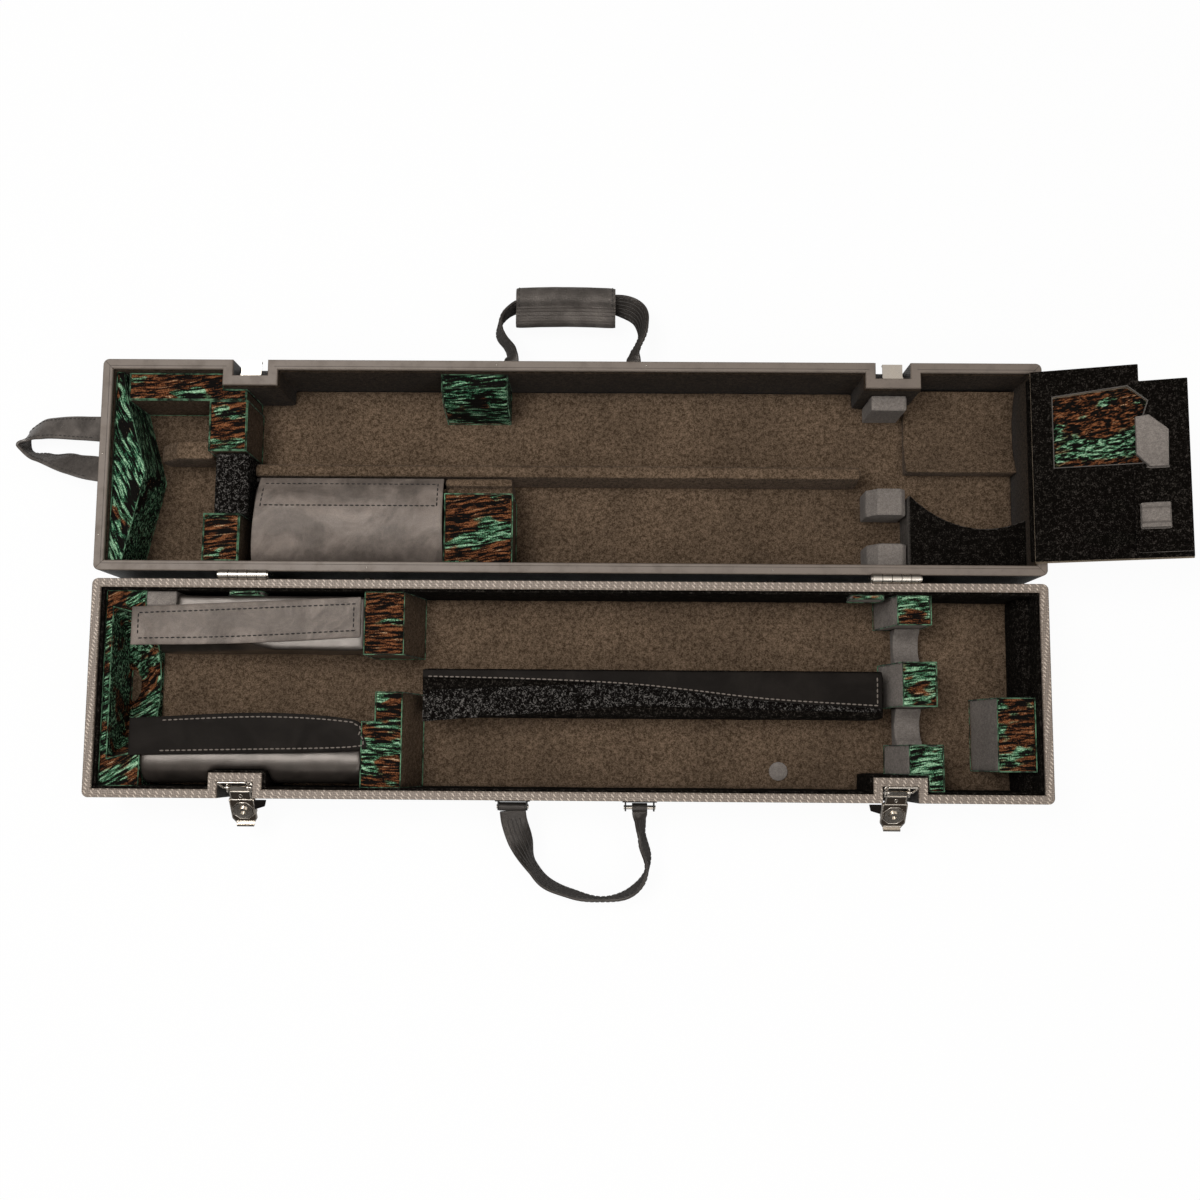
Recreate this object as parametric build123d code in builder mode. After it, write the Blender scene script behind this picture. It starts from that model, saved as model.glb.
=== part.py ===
from build123d import *
import os
from math import asin, cos, degrees, radians, sin

# An instrument case for clarinets, open flat: a base shell and a lid shell of the same size, joined by
# two butt hinges along their back walls. Millimetres. +X runs along the case to the right, +Y from the
# base to the lid, +Z up. The origin is the middle of the base's resting face.

# ---- driving dimensions: shells
case_length = 940
shell_width = 214
shell_depth = 88  # one shell, resting face to rim
wall = 8
shell_floor = 6
corner_radius = 6
rim_height = 4  # moulding that caps the wall
base_rim_width = 8.5
lid_rim_width = 10
rim_edge = 0.8
hinge_gap = 8  # between the back walls when the case lies open
closing_gap = 0.8  # between the two rims when the case is shut

# ---- latch recesses in the front walls
recess_inset = 148  # from the case's end to the middle of a recess
recess_width = 35
recess_depth = 16
recess_wall = 8
base_recess_floor = 12
lid_recess_floor = 48

# ---- linings
lining = 3
lining_drop = 6  # from the rim's top down to the lining's top edge
pad = 8
felt_gap = 0.3
soft_edge = 1

# ---- beds of the base; a drop is measured down from the rim's top
bed_drop = 10
bolster_drop = 12.5
bell_radius = 76  # bell of the bass clarinet with its rim
bell_axis_y = 5
bell_length = 249
bell_end_gap = 7
bell_tip_radius = 14
bell_rest_length = 39
far_bolster_width = 58
far_bolster_back = 4
corner_rest_length = 30
corner_rest_width = 15
near_bolster_radius = 23.5
near_bolster_gap = 3
flap_thickness = 2.5
flap_gap = 0.3
flap_overlap = 13  # of the flap over the bell's rest
flap_inset = 4
strap_near = 30
strap_breadth = 36
post_start = 257  # from the left lining
post_length = 39
post_lean = 13
far_post_width = 62
near_post_width = 64
near_post_step = 13
near_post_reach = 29
saddle_lean = 12
saddle_length = 33
saddle_start = 135  # of the far saddle, from the right lining
middle_saddle_start = 131
middle_saddle_near = -13
middle_saddle_far = 30
near_saddle_start = 126
far_saddle_width = 29
near_saddle_width = 45
rest_start = 130
rest_length = 26
rest_height = 22
rest_groove = 17
stop_start = 50
stop_length = 37
stop_lean = 11
stop_end_gap = 2
stop_near = 20
stop_width = 71.5
end_bolster_length = 12
end_bolster_drop = 28
divider_gap = 4
divider_end = 147
divider_near = -26
divider_far = 22
divider_drop = 28
divider_edge = 5
band_thickness = 2
patch_width = 34
patch_height = 30
patch_thickness = 4
patch_shift = 26  # the right patch lies this much nearer to the middle

# ---- beds of the lid
end_block_length = 33
top_bar_start = 12
top_bar_length = 119
top_bar_width = 28
top_bar_drop = 12
far_corner_start = 95
far_corner_length = 38
far_corner_width = 51.5
near_corner_start = 93
near_corner_length = 36
near_corner_width = 48
middle_post_start = 101
middle_post_length = 34
middle_post_drop = 16
left_divider_start = 35
left_divider_length = 59
left_divider_near = 12
left_divider_width = 18
left_divider_drop = 32
left_divider_step = 20
trough_start = 136
trough_end = 164
trough_near = -8
trough_far = 12
trough_drop = 36
trough_draft = 4
wedge_start = 328
wedge_length = 66
wedge_width = 36
stepped_start = 332
stepped_length = 68
stepped_near = -25.5
stepped_width = 17
stepped_drop = 22
stepped_step = 8
cradle_start = 333
cradle_length = 68
cradle_drop = 14
cradle_dip = 4
lid_bolster_start = 141
lid_bolster_length = 188
lid_bolster_width = 79
crown_drop = 9  # of the leather cover over the lid's bolster
cover_leather = 2.6
cover_overhang = 2.5
back_sheet_height = 14
foam_start = 159
foam_length = 39
far_foam_start = 155
far_foam_length = 36
far_foam_near = 64
far_foam_width = 18
foam_drop = 28
bell_bed_length = 114
bell_bed_near = 7
bell_bed_gap = 3
bell_bed_drop = 44
bell_bed_radius = 74
bell_bed_floor = 8
crescent_length = 118
crescent_horn = 78  # how far its left horn reaches from the near lining
crescent_root = 50
crescent_waist = 44
crescent_waist_in = 65
crescent_drop = 30

# ---- hinges
hinge_inset = 149  # from the case's end to the middle of a hinge
hinge_length = 47
knuckles = 5
knuckle_radius = 4.6
knuckle_gap = 0.3
pin_radius = 1.6
pin_clearance = 0.2
pin_head_radius = 3
pin_head = 1.2
leaf_thickness = 1.5
leaf_height = 24
rivet_radius = 2.6
rivet_head = 0.8
relief = 0.5  # room round the knuckles in the rims

# ---- latches
latch_pivot_in = 10  # from the front face to the lever's pivot
latch_pivot_drop = 22
lever_open = 50  # degrees from the front wall
lever_width = 25
lever_neck = 21.4
lever_foot_gap = 8  # under the shut lever's tip
lever_plate = 1.5
lever_stand = 2.2  # from the pivot to the back of the lever's plate
lip_length = 4
crank = 8  # from the pivot to the bail's eye
bail_wire = 1
bail_width = 29
bail_length = 25.5
bail_lean = 12  # degrees towards the case when open
eye_clearance = 0.25
ear_thickness = 1.5
ear_gap = 0.3
ear_radius = 5
latch_plate_thickness = 1.4
latch_plate_width = 29
keeper_width = 20
keeper_thickness = 1.5

# ---- carrying straps
strap_width = 26
strap_thickness = 3
handle_span = 126
handle_shift = 8  # the base's handle lies a little to the right
anchor_drop = 38
anchor_plate = 2
anchor_height = 22
anchor_pin_radius = 2
anchor_out = 7  # from the wall to the pin
anchor_side = 1.5
sleeve_gap = 0.3
strap_root = 14  # from the pins to where the loop stands on edge
handle_reach = 105
grip_length = 104
grip_width = 44
grip_thickness = 33
grip_edge = 12
grip_line = 71  # from the pins to the grip's middle
grip_shift = 8
lid_strap_line = 86
loop_span = 42
loop_length = 103

# ---- accessory cover over the lid's right compartment
cover_hinge_in = 4
cover_hinge_drop = 1
cover_tilt = 18
cover_length = 146
cover_thickness = 11
cover_root = 3
cover_side_gap = 1
pocket_depth = 8
foam_block_height = 9
pad_thickness = 3

# ---- rivets and glides
leaf_rivet_pitch = 16
glide_x = 200
glide_drop = 16
glide_radius = 7
glide_out = 3

# ---- derived places
recess_x = case_length / 2 - recess_inset
hinge_x = case_length / 2 - hinge_inset
lining_top = shell_depth - lining_drop
bed_top = shell_depth - bed_drop
bolster_top = shell_depth - bolster_drop
divider_top = shell_depth - divider_drop
latch_pivot_z = shell_depth - latch_pivot_drop
lever_length = latch_pivot_z - base_recess_floor - lever_foot_gap
anchor_z = shell_depth - anchor_drop
hinge_y = shell_width / 2 + hinge_gap / 2
hinge_z = shell_depth + closing_gap / 2
lid_y = 2 * hinge_y
pad_top = shell_floor + pad
inner_x = case_length / 2 - wall - lining
inner_y = shell_width / 2 - wall - lining
base_far = inner_y
base_near = -inner_y
lid_near = lid_y - inner_y
lid_far = lid_y + inner_y
base_front = -shell_width / 2
lid_front = lid_y + shell_width / 2
recess_back = recess_depth + recess_wall + lining
os.makedirs("parts", exist_ok=True)


def save(piece, name):
    """Labels a finished sub-part and writes its STEP file."""
    piece.part.label = name
    export_step(piece.part, f"parts/{name}.step")


def middle(span):
    return (span[0] + span[1]) / 2


def free_area(mid_y, side, gap):
    """Plan of the room inside a shell: its opening less the two latch recesses, drawn in by a gap."""
    housing = recess_depth + recess_wall + gap
    with BuildSketch() as area:
        with Locations((0, mid_y)):
            Rectangle(case_length - 2 * (wall + gap), shell_width - 2 * (wall + gap))
        with Locations(*[(x, mid_y + side * (shell_width - housing) / 2) for x in (-recess_x, recess_x)]):
            Rectangle(recess_width + 2 * (recess_wall + gap), housing, mode=Mode.SUBTRACT)
    return area.sketch


def board_joints():
    """The planes either side of the latch housings, where a shell's boards and its rim's lengths meet."""
    housing_end = recess_width / 2 + recess_wall
    return [Plane.YZ.offset(x + end) for x in (-recess_x, recess_x) for end in (-housing_end, housing_end)]


def shell(mid_y, side, recess_floor):
    """A shell glued up from boards, open at the top, with two latch recesses in its front wall."""
    top = shell_depth - rim_height
    with BuildPart() as piece:
        with BuildSketch() as outline:
            with Locations((0, mid_y)):
                RectangleRounded(case_length, shell_width, corner_radius)
        extrude(amount=top)
        fillet(piece.faces().sort_by(Axis.Z)[0].edges(), corner_radius - 1)
        with BuildSketch(Plane.XY.offset(shell_floor)):
            add(free_area(mid_y, side, 0))
        extrude(amount=top, mode=Mode.SUBTRACT)
        with BuildSketch(Plane.XY.offset(recess_floor)):
            with Locations(*[(x, mid_y + side * shell_width / 2) for x in (-recess_x, recess_x)]):
                Rectangle(recess_width, 2 * recess_depth)
        extrude(amount=shell_depth - recess_floor, mode=Mode.SUBTRACT)
        for x in (-hinge_x, hinge_x):
            with BuildSketch(Plane.YZ.offset(x - hinge_length / 2 - relief)):
                with Locations((hinge_y, hinge_z)):
                    Circle(knuckle_radius + relief)
            extrude(amount=hinge_length + 2 * relief, mode=Mode.SUBTRACT)
        for joint in (Plane.XY.offset(shell_floor), *board_joints()):
            split(bisect_by=joint, keep=Keep.BOTH)
    return piece


def rim(mid_y, side, width):
    """The moulding that caps a shell's wall and follows it round the latch recesses."""
    with BuildPart() as piece:
        with BuildSketch(Plane.XY.offset(shell_depth - rim_height)):
            with Locations((0, mid_y)):
                RectangleRounded(case_length, shell_width, corner_radius)
            add(free_area(mid_y, side, width - wall), mode=Mode.SUBTRACT)
            with Locations(*[(x, mid_y + side * shell_width / 2) for x in (-recess_x, recess_x)]):
                Rectangle(recess_width, 2 * recess_depth, mode=Mode.SUBTRACT)
        extrude(amount=rim_height)
        chamfer(piece.faces().sort_by(Axis.Z)[-1].edges(), rim_edge)
        for x in (-hinge_x, hinge_x):
            with BuildSketch(Plane.YZ.offset(x - hinge_length / 2 - relief)):
                with Locations((hinge_y, hinge_z)):
                    Circle(knuckle_radius + relief)
            extrude(amount=hinge_length + 2 * relief, mode=Mode.SUBTRACT)
        for joint in board_joints():
            split(bisect_by=joint, keep=Keep.BOTH)
    return piece


def wall_lining(mid_y, side):
    """Felt that lines the walls from the shell's floor to just under the rim."""
    with BuildPart() as piece:
        with BuildSketch(Plane.XY.offset(shell_floor)):
            add(free_area(mid_y, side, 0))
            add(free_area(mid_y, side, lining), mode=Mode.SUBTRACT)
        extrude(amount=lining_top - shell_floor)
    return piece


def floor_pad(mid_y, side):
    """Felt-covered foam over the whole floor, inside the wall lining."""
    with BuildPart() as piece:
        with BuildSketch(Plane.XY.offset(shell_floor)):
            add(free_area(mid_y, side, lining))
        extrude(amount=pad)
    return piece


def prism(plane, points, length):
    """A straight prism with the given outline on the given plane."""
    with BuildPart() as piece:
        with BuildSketch(plane):
            with BuildLine():
                Polyline(*points, close=True)
            make_face()
        extrude(amount=length)
    return piece


def block(x, y, top, side=0):
    """A covered foam block that stands on the pad; with a side, it is cut clear of that shell's recesses."""
    with BuildPart() as piece:
        with BuildSketch(Plane.XY.offset(pad_top)):
            with Locations((middle(x), middle(y))):
                Rectangle(x[1] - x[0], y[1] - y[0])
            if side:
                front = base_front if side < 0 else lid_front
                with Locations((-recess_x, front), (recess_x, front)):
                    Rectangle(
                        recess_width + 2 * (recess_wall + lining + felt_gap),
                        2 * (recess_back + felt_gap),
                        mode=Mode.SUBTRACT,
                    )
        extrude(amount=top - pad_top)
        chamfer(piece.faces().sort_by(Axis.Z)[-1].edges(), soft_edge)
    return piece


# ---- shells, rims, linings
base_shell = shell(0, -1, base_recess_floor)
save(base_shell, "base_shell")
lid_shell = shell(lid_y, 1, lid_recess_floor)
save(lid_shell, "lid_shell")
base_rim = rim(0, -1, base_rim_width)
save(base_rim, "base_rim")
lid_rim = rim(lid_y, 1, lid_rim_width)
save(lid_rim, "lid_rim")
base_wall_lining = wall_lining(0, -1)
save(base_wall_lining, "base_wall_lining")
lid_wall_lining = wall_lining(lid_y, 1)
save(lid_wall_lining, "lid_wall_lining")
base_floor_pad = floor_pad(0, -1)
save(base_floor_pad, "base_floor_pad")
lid_floor_pad = floor_pad(lid_y, 1)
save(lid_floor_pad, "lid_floor_pad")


# ---- base: beds for the bell, the joints and their bells
bell_rest_end = -inner_x + bell_rest_length
bell_end_x = -inner_x + bell_end_gap
post_left = -inner_x + post_start
post_right = post_left + post_length
post_foot = post_right + post_lean
bolster_end = post_left - flap_gap
far_bolster_near = base_far - far_bolster_width
far_bolster_far = base_far - far_bolster_back
near_post_far = base_near + near_post_width


def bell_room():
    """The tapered room of the bass clarinet's bell, lying along the case."""
    centre = Location((bell_end_x + bell_length / 2, bell_axis_y, shell_depth), (0, 90, 0))
    with BuildPart() as room:
        with Locations(centre):
            Cone(bell_radius, bell_tip_radius, bell_length)
    return room.part


def recess_room(side):
    """The latch recesses of one shell with their lining, as two blocks to cut from what stands beside them."""
    front = base_front if side < 0 else lid_front
    with BuildPart() as room:
        with BuildSketch():
            with Locations((-recess_x, front), (recess_x, front)):
                Rectangle(
                    recess_width + 2 * (recess_wall + lining + felt_gap),
                    2 * (recess_back + felt_gap),
                )
        extrude(amount=shell_depth)
    return room.part


def leaning(points, near, far, side=0):
    """A block whose outline in X and Z runs from its near to its far side, clear of the latch recesses."""
    with BuildPart() as piece:
        with BuildSketch(Plane(origin=(0, far, 0), x_dir=(1, 0, 0), z_dir=(0, -1, 0))):
            with BuildLine():
                Polyline(*points, close=True)
            make_face()
        extrude(amount=far - near)
        if side:
            add(recess_room(side), mode=Mode.SUBTRACT)
    return piece


def sheet(points, bottom, thickness=flap_thickness):
    """A flat sheet of leather or band with the given plan."""
    return prism(Plane.XY.offset(bottom), points, thickness)


with BuildPart() as base_bell_block:
    with BuildSketch(Plane.XY.offset(pad_top)):
        with Locations(((bell_rest_end - inner_x) / 2, 0)):
            Rectangle(bell_rest_length, 2 * inner_y)
    extrude(amount=bolster_top - pad_top)
    add(bell_room(), mode=Mode.SUBTRACT)
save(base_bell_block, "base_bell_block")

notch_x = bell_rest_end + corner_rest_length + soft_edge
notch_near = base_far - corner_rest_width - soft_edge
with BuildPart() as base_far_bolster:
    with BuildSketch(Plane.XY.offset(pad_top)):
        with BuildLine():
            Polyline(
                (bell_rest_end, far_bolster_near),
                (bell_rest_end, notch_near),
                (notch_x, notch_near),
                (notch_x, far_bolster_far),
                (bolster_end, far_bolster_far),
                (bolster_end, far_bolster_near),
                close=True,
            )
        make_face()
    extrude(amount=bolster_top - pad_top)
    add(bell_room(), mode=Mode.SUBTRACT)
save(base_far_bolster, "base_far_bolster")

near_bolster_y = base_near + near_bolster_gap + near_bolster_radius
near_bolster_z = bolster_top - near_bolster_radius
with BuildPart() as base_near_bolster:
    with BuildSketch(Plane.YZ.offset(bell_rest_end)):
        with Locations((near_bolster_y, middle((pad_top, near_bolster_z)))):
            Rectangle(2 * near_bolster_radius, near_bolster_z - pad_top)
        with Locations((near_bolster_y, near_bolster_z)):
            Circle(near_bolster_radius)
    extrude(amount=bolster_end - bell_rest_end)
    add(bell_room(), mode=Mode.SUBTRACT)
    add(recess_room(-1), mode=Mode.SUBTRACT)
save(base_near_bolster, "base_near_bolster")

flap_left = bell_rest_end - flap_overlap
flap_right = post_left - flap_inset
base_bell_flap = sheet(
    [
        (flap_left, far_bolster_near + flap_inset),
        (flap_left, notch_near),
        (flap_right, far_bolster_far - soft_edge),
        (flap_right, far_bolster_near + flap_overlap),
    ],
    bolster_top + flap_gap,
)
save(base_bell_flap, "base_bell_flap")
strap_left = bell_rest_end - flap_overlap + 3
strap_tip = post_left - 3
strap_low = base_near + strap_near
strap_high = strap_low + strap_breadth
base_bell_strap = sheet(
    [
        (strap_left, strap_low),
        (strap_left, strap_high),
        (middle((strap_left, strap_tip)) + 18, strap_high + 6),
        (strap_tip - 7, strap_high),
        (strap_tip, middle((strap_low, strap_high)) + 4),
        (strap_tip - 7, strap_low + 6),
    ],
    bolster_top + flap_gap,
)
save(base_bell_strap, "base_bell_strap")


def post_outline(left):
    """A post's outline in X and Z from its left face to the side that leans out towards the pad."""
    return [(left, pad_top), (post_foot, pad_top), (post_right, bed_top), (left, bed_top)]


base_far_post = leaning(post_outline(post_left), base_far - far_post_width, base_far)
save(base_far_post, "base_far_post")
with BuildPart() as base_near_post:
    add(leaning(post_outline(post_left), base_near, near_post_far).part)
    add(
        leaning(
            post_outline(post_left + near_post_step), near_post_far, near_post_far + near_post_reach
        ).part
    )
save(base_near_post, "base_near_post")

far_saddle_near = base_far - far_saddle_width
near_saddle_far = base_near + near_saddle_width
saddle_places = [
    (inner_x - saddle_start, far_saddle_near, base_far),
    (inner_x - middle_saddle_start, middle_saddle_near, middle_saddle_far),
    (inner_x - near_saddle_start, base_near, near_saddle_far),
]
with BuildPart() as base_saddle_blocks:
    for left, near, far in saddle_places:
        right = left + saddle_length
        outline = [(left - saddle_lean, pad_top), (right, pad_top), (right, bed_top), (left, bed_top)]
        add(leaning(outline, near, far, -1).part)
save(base_saddle_blocks, "base_saddle_blocks")

with BuildPart() as base_felt_rests:
    for near, far in ((near_saddle_far, middle_saddle_near), (middle_saddle_far, far_saddle_near)):
        with BuildSketch(Plane.YZ.offset(inner_x - rest_start)):
            with Locations((middle((near, far)), pad_top + rest_height / 2)):
                Rectangle(far - near - 2 * felt_gap, rest_height)
            with Locations((middle((near, far)), pad_top + rest_height + rest_groove / 2)):
                Circle(rest_groove, mode=Mode.SUBTRACT)
        extrude(amount=rest_length)
    with BuildSketch(Plane.XY.offset(pad_top)):
        with Locations((bell_rest_end + corner_rest_length / 2, base_far - corner_rest_width / 2)):
            Rectangle(corner_rest_length, corner_rest_width)
    extrude(amount=bolster_top - pad_top)
save(base_felt_rests, "base_felt_rests")

end_bolster_left = inner_x - end_bolster_length
end_bolster_top = shell_depth - end_bolster_drop
stop_left = inner_x - stop_start
stop_foot = stop_left + stop_length
stop_right = inner_x - stop_end_gap
stop_top = shell_depth - bolster_drop + 0.5
stop_step = end_bolster_top + 1
base_bell_stop = leaning(
    [
        (stop_left, pad_top),
        (stop_foot, pad_top),
        (stop_foot, stop_step),
        (stop_right, stop_step),
        (stop_right, stop_top),
        (stop_left + stop_lean, stop_top),
    ],
    base_near + stop_near,
    base_near + stop_near + stop_width,
)
save(base_bell_stop, "base_bell_stop")
base_end_bolster = leaning(
    [
        (end_bolster_left, pad_top),
        (inner_x, pad_top),
        (inner_x, end_bolster_top),
        (middle((end_bolster_left, inner_x)), end_bolster_top),
        (end_bolster_left, end_bolster_top - 12),
    ],
    base_near,
    base_far,
)
save(base_end_bolster, "base_end_bolster")

divider_left = post_foot + divider_gap
divider_right = inner_x - divider_end
divider_y = middle((divider_near, divider_far))
with BuildPart() as base_divider:
    with BuildSketch(Plane.YZ.offset(divider_left)):
        with Locations((divider_y, middle((pad_top, divider_top)))):
            Rectangle(divider_far - divider_near, divider_top - pad_top)
    extrude(amount=divider_right - divider_left)
    fillet(base_divider.faces().sort_by(Axis.Z)[-1].edges().filter_by(Axis.X), divider_edge)
save(base_divider, "base_divider")
band_start = divider_left + 1
band_end = divider_right - 2
band_run = band_end - band_start
bend_early = band_start + 0.45 * band_run
bend_late = band_start + 0.76 * band_run
base_divider_band = sheet(
    [
        (band_start, divider_near - 5),
        (band_start, 0),
        (bend_early, 9),
        (bend_late, 6),
        (band_end, -3),
        (band_end, -19),
        (bend_late, -17),
        (bend_early, -14),
    ],
    divider_top,
    band_thickness,
)
save(base_divider_band, "base_divider_band")
base_divider_flap = sheet(
    [
        (band_start, divider_far - 2),
        (band_end, divider_far - 2),
        (band_end, -15),
        (bend_late, -9),
        (bend_early, 8),
        (band_start, 13),
    ],
    divider_top + band_thickness + flap_gap,
)
save(base_divider_flap, "base_divider_flap")
with BuildPart() as base_hinge_patches:
    for x in (-hinge_x, hinge_x - patch_shift):
        with BuildSketch(Plane.XZ.offset(-base_far)):
            with Locations((x, hinge_z - leaf_height)):
                RectangleRounded(patch_width, patch_height, 6)
        extrude(amount=patch_thickness)
save(base_hinge_patches, "base_hinge_patches")

# ---- lid: beds for the long joint, the upper joint and the small things
end_block_right = -inner_x + end_block_length
lid_end_block = prism(
    Plane.XY.offset(pad_top),
    [
        (-inner_x, lid_near),
        (-inner_x, lid_far),
        (-inner_x + 7, lid_far),
        (-inner_x + 10, lid_far - 22),
        (end_block_right, lid_y - 5),
        (end_block_right - 4, lid_y - 26),
        (-inner_x + 13, lid_near),
    ],
    bed_top - pad_top,
)
save(lid_end_block, "lid_end_block")


def span(start, length):
    """The two ends of a stretch."""
    return (start, start + length)


top_bar = span(-inner_x + top_bar_start, top_bar_length)
top_bar_near = lid_far - top_bar_width
far_corner = span(-inner_x + far_corner_start, far_corner_length)
near_corner = span(-inner_x + near_corner_start, near_corner_length)
far_corner_y = (top_bar_near - soft_edge / 2 - far_corner_width, top_bar_near - soft_edge / 2)
near_corner_y = span(lid_near, near_corner_width)
with BuildPart() as lid_velvet_blocks:
    add(block(top_bar, (top_bar_near, lid_far), shell_depth - top_bar_drop, 1).part)
    add(block(far_corner, far_corner_y, bed_top).part)
    add(block(near_corner, near_corner_y, bed_top).part)
save(lid_velvet_blocks, "lid_velvet_blocks")
lid_middle_post = block(
    span(-inner_x + middle_post_start, middle_post_length),
    (near_corner_y[1] + soft_edge / 2, far_corner_y[0] - soft_edge / 2),
    shell_depth - middle_post_drop,
)
save(lid_middle_post, "lid_middle_post")
step_x, step_end = span(-inner_x + left_divider_start, left_divider_length)
step_top = shell_depth - left_divider_drop
lid_left_divider = leaning(
    [
        (step_x, pad_top),
        (step_end, pad_top),
        (step_end, step_top),
        (step_x + 22, step_top),
        (step_x, step_top - left_divider_step),
    ],
    lid_y + left_divider_near,
    lid_y + left_divider_near + left_divider_width,
)
save(lid_left_divider, "lid_left_divider")
trough_top = shell_depth - trough_drop
lid_trough_divider = prism(
    Plane.YZ.offset(-inner_x + trough_start),
    [
        (lid_y + trough_near, pad_top),
        (lid_y + trough_far, pad_top),
        (lid_y + trough_far - trough_draft, trough_top),
        (lid_y + trough_near + trough_draft, trough_top),
    ],
    2 * inner_x - trough_start - trough_end,
)
save(lid_trough_divider, "lid_trough_divider")
wedge_near = lid_far - wedge_width
wedge_top = shell_depth - top_bar_drop
lid_wall_wedge = prism(
    Plane.YZ.offset(-inner_x + wedge_start),
    [
        (wedge_near, pad_top),
        (lid_far, pad_top),
        (lid_far, wedge_top),
        (wedge_near + 22, wedge_top),
        (wedge_near + 8, wedge_top - 20),
    ],
    wedge_length,
)
save(lid_wall_wedge, "lid_wall_wedge")
stepped_edge = lid_y + stepped_near
stepped_top = shell_depth - stepped_drop
lid_stepped_block = prism(
    Plane.YZ.offset(-inner_x + stepped_start),
    [
        (stepped_edge, pad_top),
        (stepped_edge + stepped_width, pad_top),
        (stepped_edge + stepped_width, stepped_top),
        (stepped_edge + stepped_width / 2, stepped_top),
        (stepped_edge + stepped_width / 2, stepped_top - stepped_step),
        (stepped_edge, stepped_top - stepped_step),
    ],
    stepped_length,
)
save(lid_stepped_block, "lid_stepped_block")
cradle_far = stepped_edge - soft_edge / 2
cradle_top = shell_depth - cradle_drop
lid_cradle_block = prism(
    Plane.YZ.offset(-inner_x + cradle_start),
    [
        (lid_near, pad_top),
        (cradle_far, pad_top),
        (cradle_far, cradle_top),
        (cradle_far - 20, cradle_top - cradle_dip),
        (lid_near + 20, cradle_top - cradle_dip),
        (lid_near, cradle_top),
    ],
    cradle_length,
)
save(lid_cradle_block, "lid_cradle_block")
crown_z = shell_depth - crown_drop
crown_y = lid_near + 42
shoulder_near = crown_z - 21
shoulder_far = crown_z - 15
lid_bolster_far = lid_near + lid_bolster_width
lid_bolster_left = -inner_x + lid_bolster_start
with BuildPart() as lid_bolster:
    with BuildSketch(Plane.YZ.offset(lid_bolster_left)):
        with BuildLine():
            Polyline(
                (lid_near, shoulder_near),
                (lid_near, pad_top),
                (lid_bolster_far, pad_top),
                (lid_bolster_far, shoulder_far),
            )
            ThreePointArc(
                (lid_bolster_far, shoulder_far), (crown_y, crown_z - 4), (lid_near, shoulder_near)
            )
        make_face()
    extrude(amount=lid_bolster_length)
save(lid_bolster, "lid_bolster")
leather_near = lid_near + soft_edge / 2
leather_far = lid_bolster_far + 6
with BuildPart() as lid_bolster_cover:
    with BuildSketch(Plane.YZ.offset(lid_bolster_left - cover_overhang)):
        with BuildLine():
            ThreePointArc(
                (leather_near, shoulder_near + 3), (crown_y, crown_z - 2), (leather_far, shoulder_far + 2)
            )
            Line((leather_far, shoulder_far + 2), (leather_far + 0.8, shoulder_far + 2 + cover_leather))
            ThreePointArc(
                (leather_far + 0.8, shoulder_far + 2 + cover_leather),
                (crown_y, crown_z - 2 + cover_leather),
                (leather_near, shoulder_near + 3 + cover_leather),
            )
            Line((leather_near, shoulder_near + 3 + cover_leather), (leather_near, shoulder_near + 3))
        make_face()
    extrude(amount=lid_bolster_length + 2 * cover_overhang)
save(lid_bolster_cover, "lid_bolster_cover")
sheet_near = lid_bolster_far + flap_gap
sheet_top = shoulder_far - 2
lid_back_sheet = prism(
    Plane.YZ.offset(lid_bolster_left),
    [
        (sheet_near, sheet_top - back_sheet_height),
        (sheet_near + 3.7, sheet_top - back_sheet_height),
        (sheet_near + 7.7, sheet_top),
        (sheet_near + 4.2, sheet_top),
    ],
    lid_bolster_length + 2,
)
save(lid_back_sheet, "lid_back_sheet")
foam_left, foam_right = span(inner_x - foam_start, foam_length)
foam_top = shell_depth - foam_drop
with BuildPart() as lid_foam_cradles:
    add(
        block(
            span(inner_x - far_foam_start, far_foam_length),
            span(lid_y + far_foam_near, far_foam_width),
            foam_top + 6,
            1,
        ).part
    )
    for near, far in ((lid_near + 54, lid_near + 81), (lid_near, lid_near + 25)):
        outline = [
            (foam_left, pad_top),
            (foam_right, pad_top),
            (foam_right, foam_top - 6),
            (foam_right - 5, foam_top),
            (foam_left + 10, foam_top),
            (foam_left, foam_top - 14),
        ]
        add(leaning(outline, near, far).part)
save(lid_foam_cradles, "lid_foam_cradles")
bell_bed_y = middle((lid_y + bell_bed_near, lid_far - bell_bed_gap))
bell_bed_top = shell_depth - bell_bed_drop
with BuildPart() as lid_bell_bed:
    with BuildSketch(Plane.YZ.offset(inner_x - bell_bed_length)):
        with Locations((bell_bed_y, middle((pad_top, bell_bed_top)))):
            Rectangle(2 * (lid_far - bell_bed_gap - bell_bed_y), bell_bed_top - pad_top)
        with Locations((bell_bed_y, pad_top + bell_bed_floor + bell_bed_radius)):
            Circle(bell_bed_radius, mode=Mode.SUBTRACT)
    extrude(amount=bell_bed_length)
    add(recess_room(1), mode=Mode.SUBTRACT)
save(lid_bell_bed, "lid_bell_bed")
crescent_left = inner_x - crescent_length
with BuildPart() as lid_crescent:
    with BuildSketch(Plane.XY.offset(pad_top)):
        with BuildLine():
            Polyline(
                (crescent_left, lid_near + crescent_horn),
                (crescent_left, lid_near),
                (inner_x, lid_near),
                (inner_x, lid_near + crescent_root),
            )
            ThreePointArc(
                (inner_x, lid_near + crescent_root),
                (inner_x - crescent_waist_in, lid_near + crescent_waist),
                (crescent_left, lid_near + crescent_horn),
            )
        make_face()
    extrude(amount=shell_depth - crescent_drop - pad_top)
save(lid_crescent, "lid_crescent")


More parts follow.
